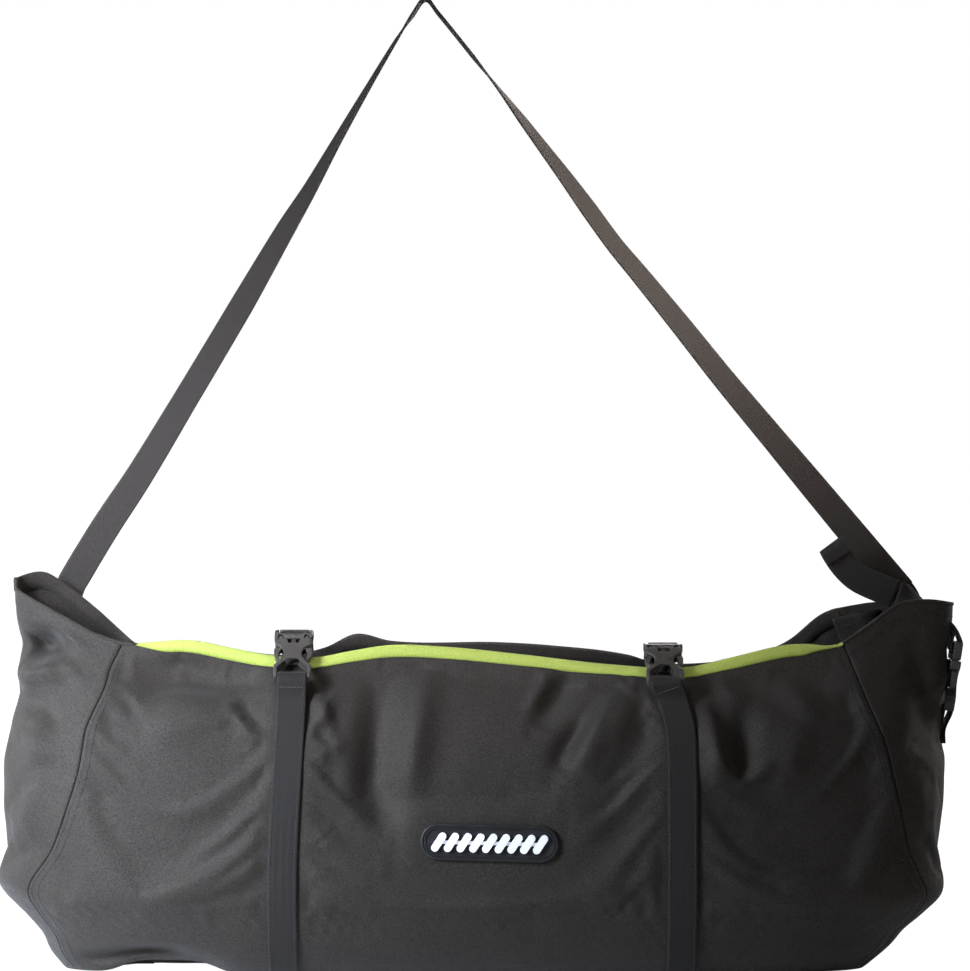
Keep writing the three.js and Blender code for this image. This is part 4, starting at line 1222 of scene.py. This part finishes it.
def badge():
    """Moulded rubber with two raised lines round its edge."""
    length, height = BADGE["length"], BADGE["height"]
    rings = [[(x, y, up) for x, y in stadium(length - 2 * inset, height - 2 * inset)]
             for inset, up in BADGE_SECTION]
    rings.append([(x, 0.0, 1.2) for x, _, _ in rings[-1]])
    points = np.array(rings)
    tilt = math.radians(-1.5)
    x, y, up = points[..., 0], points[..., 1], points[..., 2]
    placed = np.stack([
        BADGE["x"] + x * math.cos(tilt) - y * math.sin(tilt),
        -float(half_depth(BADGE["z"] - 6)) - 0.4 - up,
        BADGE["z"] + x * math.sin(tilt) + y * math.cos(tilt)], axis=-1)
    obj = grid_mesh("badge_plate", placed, points[..., :2], 1.0)
    obj.data.set_sharp_from_angle(angle=math.radians(50))
    return finish_piece(obj, RUBBER_FINISH, "badge_rubber", "badge", body="root")


dress_moulded_nodes()
badge()


# ---------------- stage, camera and light

def studio_floor():
    finish = Finish("studio_floor")
    paper = finish.noise(30, 2)
    white = finish.shade((0.86, 0.86, 0.86, 1), finish.ramp(paper, 0.985, 1.0))
    finish.done(Base_Color=white, Roughness=0.9)
    shown = finish.add("ShaderNodeEmission", Strength=1.3)
    shown.inputs["Color"].default_value = (1, 1, 1, 1)
    mix = finish.add("ShaderNodeMixShader")
    camera_ray = finish.add("ShaderNodeLightPath").outputs["Is Camera Ray"]
    finish.set(mix.inputs[0], finish.times(camera_ray, 0.8))
    finish.tree.links.new(finish.shader.outputs[0], mix.inputs[1])
    finish.tree.links.new(shown.outputs[0], mix.inputs[2])
    finish.tree.links.new(mix.outputs[0], finish.tree.nodes["Material Output"].inputs["Surface"])
    mesh = bpy.data.meshes.new("floor")
    mesh.from_pydata([(-30, -6, 0), (30, -6, 0), (30, 60, 0), (-30, 60, 0)], [], [(0, 1, 2, 3)])
    mesh.materials.append(finish.material)
    floor = new_object("floor", mesh)


def area_light(name, place, target, size, watts, color=(1, 1, 1), spread=180):
    light = bpy.data.lights.new(name, "AREA")
    light.shape = "RECTANGLE"
    light.size, light.size_y = size
    light.energy = watts
    light.color = color
    light.spread = math.radians(spread)
    obj = new_object(name, light)
    obj.location = place
    obj.rotation_euler = (Vector(target) - Vector(place)).to_track_quat("-Z", "Y").to_euler()
    return obj


def studio_world():
    """White to the camera, and nearly dark to everything else."""
    world = bpy.data.worlds.new("studio")
    bpy.context.scene.world = world
    world.use_nodes = True
    nodes, links = world.node_tree.nodes, world.node_tree.links
    background = nodes["Background"]
    background.inputs["Color"].default_value = (1, 1, 1, 1)
    strength = nodes.new("ShaderNodeMapRange")
    strength.inputs["To Min"].default_value = 0.04
    strength.inputs["To Max"].default_value = 1.0
    links.new(nodes.new("ShaderNodeLightPath").outputs["Is Camera Ray"], strength.inputs["Value"])
    links.new(strength.outputs[0], background.inputs["Strength"])


def photo_camera():
    camera = bpy.data.cameras.new("camera")
    camera.sensor_width = 36
    camera.lens = 132.5
    obj = new_object("camera", camera)
    obj.location = (np.array([4.9, -2500, 337.75]) + SHIFT) * MM
    obj.rotation_euler = (math.radians(90), 0, 0)
    bpy.context.scene.camera = obj
    bpy.context.scene.view_settings.view_transform = "Standard"


studio_floor()
area_light("key", (-0.8, -0.6, 0.5), (-0.38, 0, 0.15), (0.3, 0.45), 5.0, (0.76, 0.84, 1.0), 74)
area_light("top", (-0.5, -0.25, 1.6), (-0.14, 0, 0.1), (0.6, 0.4), 2.2, (1.0, 0.94, 0.86))
area_light("right_fill", (1.9, -1.3, 0.8), (0.2, 0, 0.15), (0.8, 0.8), 0.4, (1.0, 0.86, 0.72))
area_light("strap_light", (1.1, -1.0, 1.3), (0.13, 0, 0.55), (0.25, 0.25), 1.0, (1.0, 0.93, 0.90), 20)
area_light("left_edge", (-1.5, 0.6, 0.6), (-0.3, 0, 0.15), (0.5, 0.9), 6)
area_light("back_fill", (0.5, 2.2, 1.2), (0, 0.1, 0.15), (1.2, 0.8), 18)
area_light("right_back", (1.7, 1.0, 0.7), (0.3, 0.05, 0.15), (0.5, 0.8), 6)
studio_world()
photo_camera()
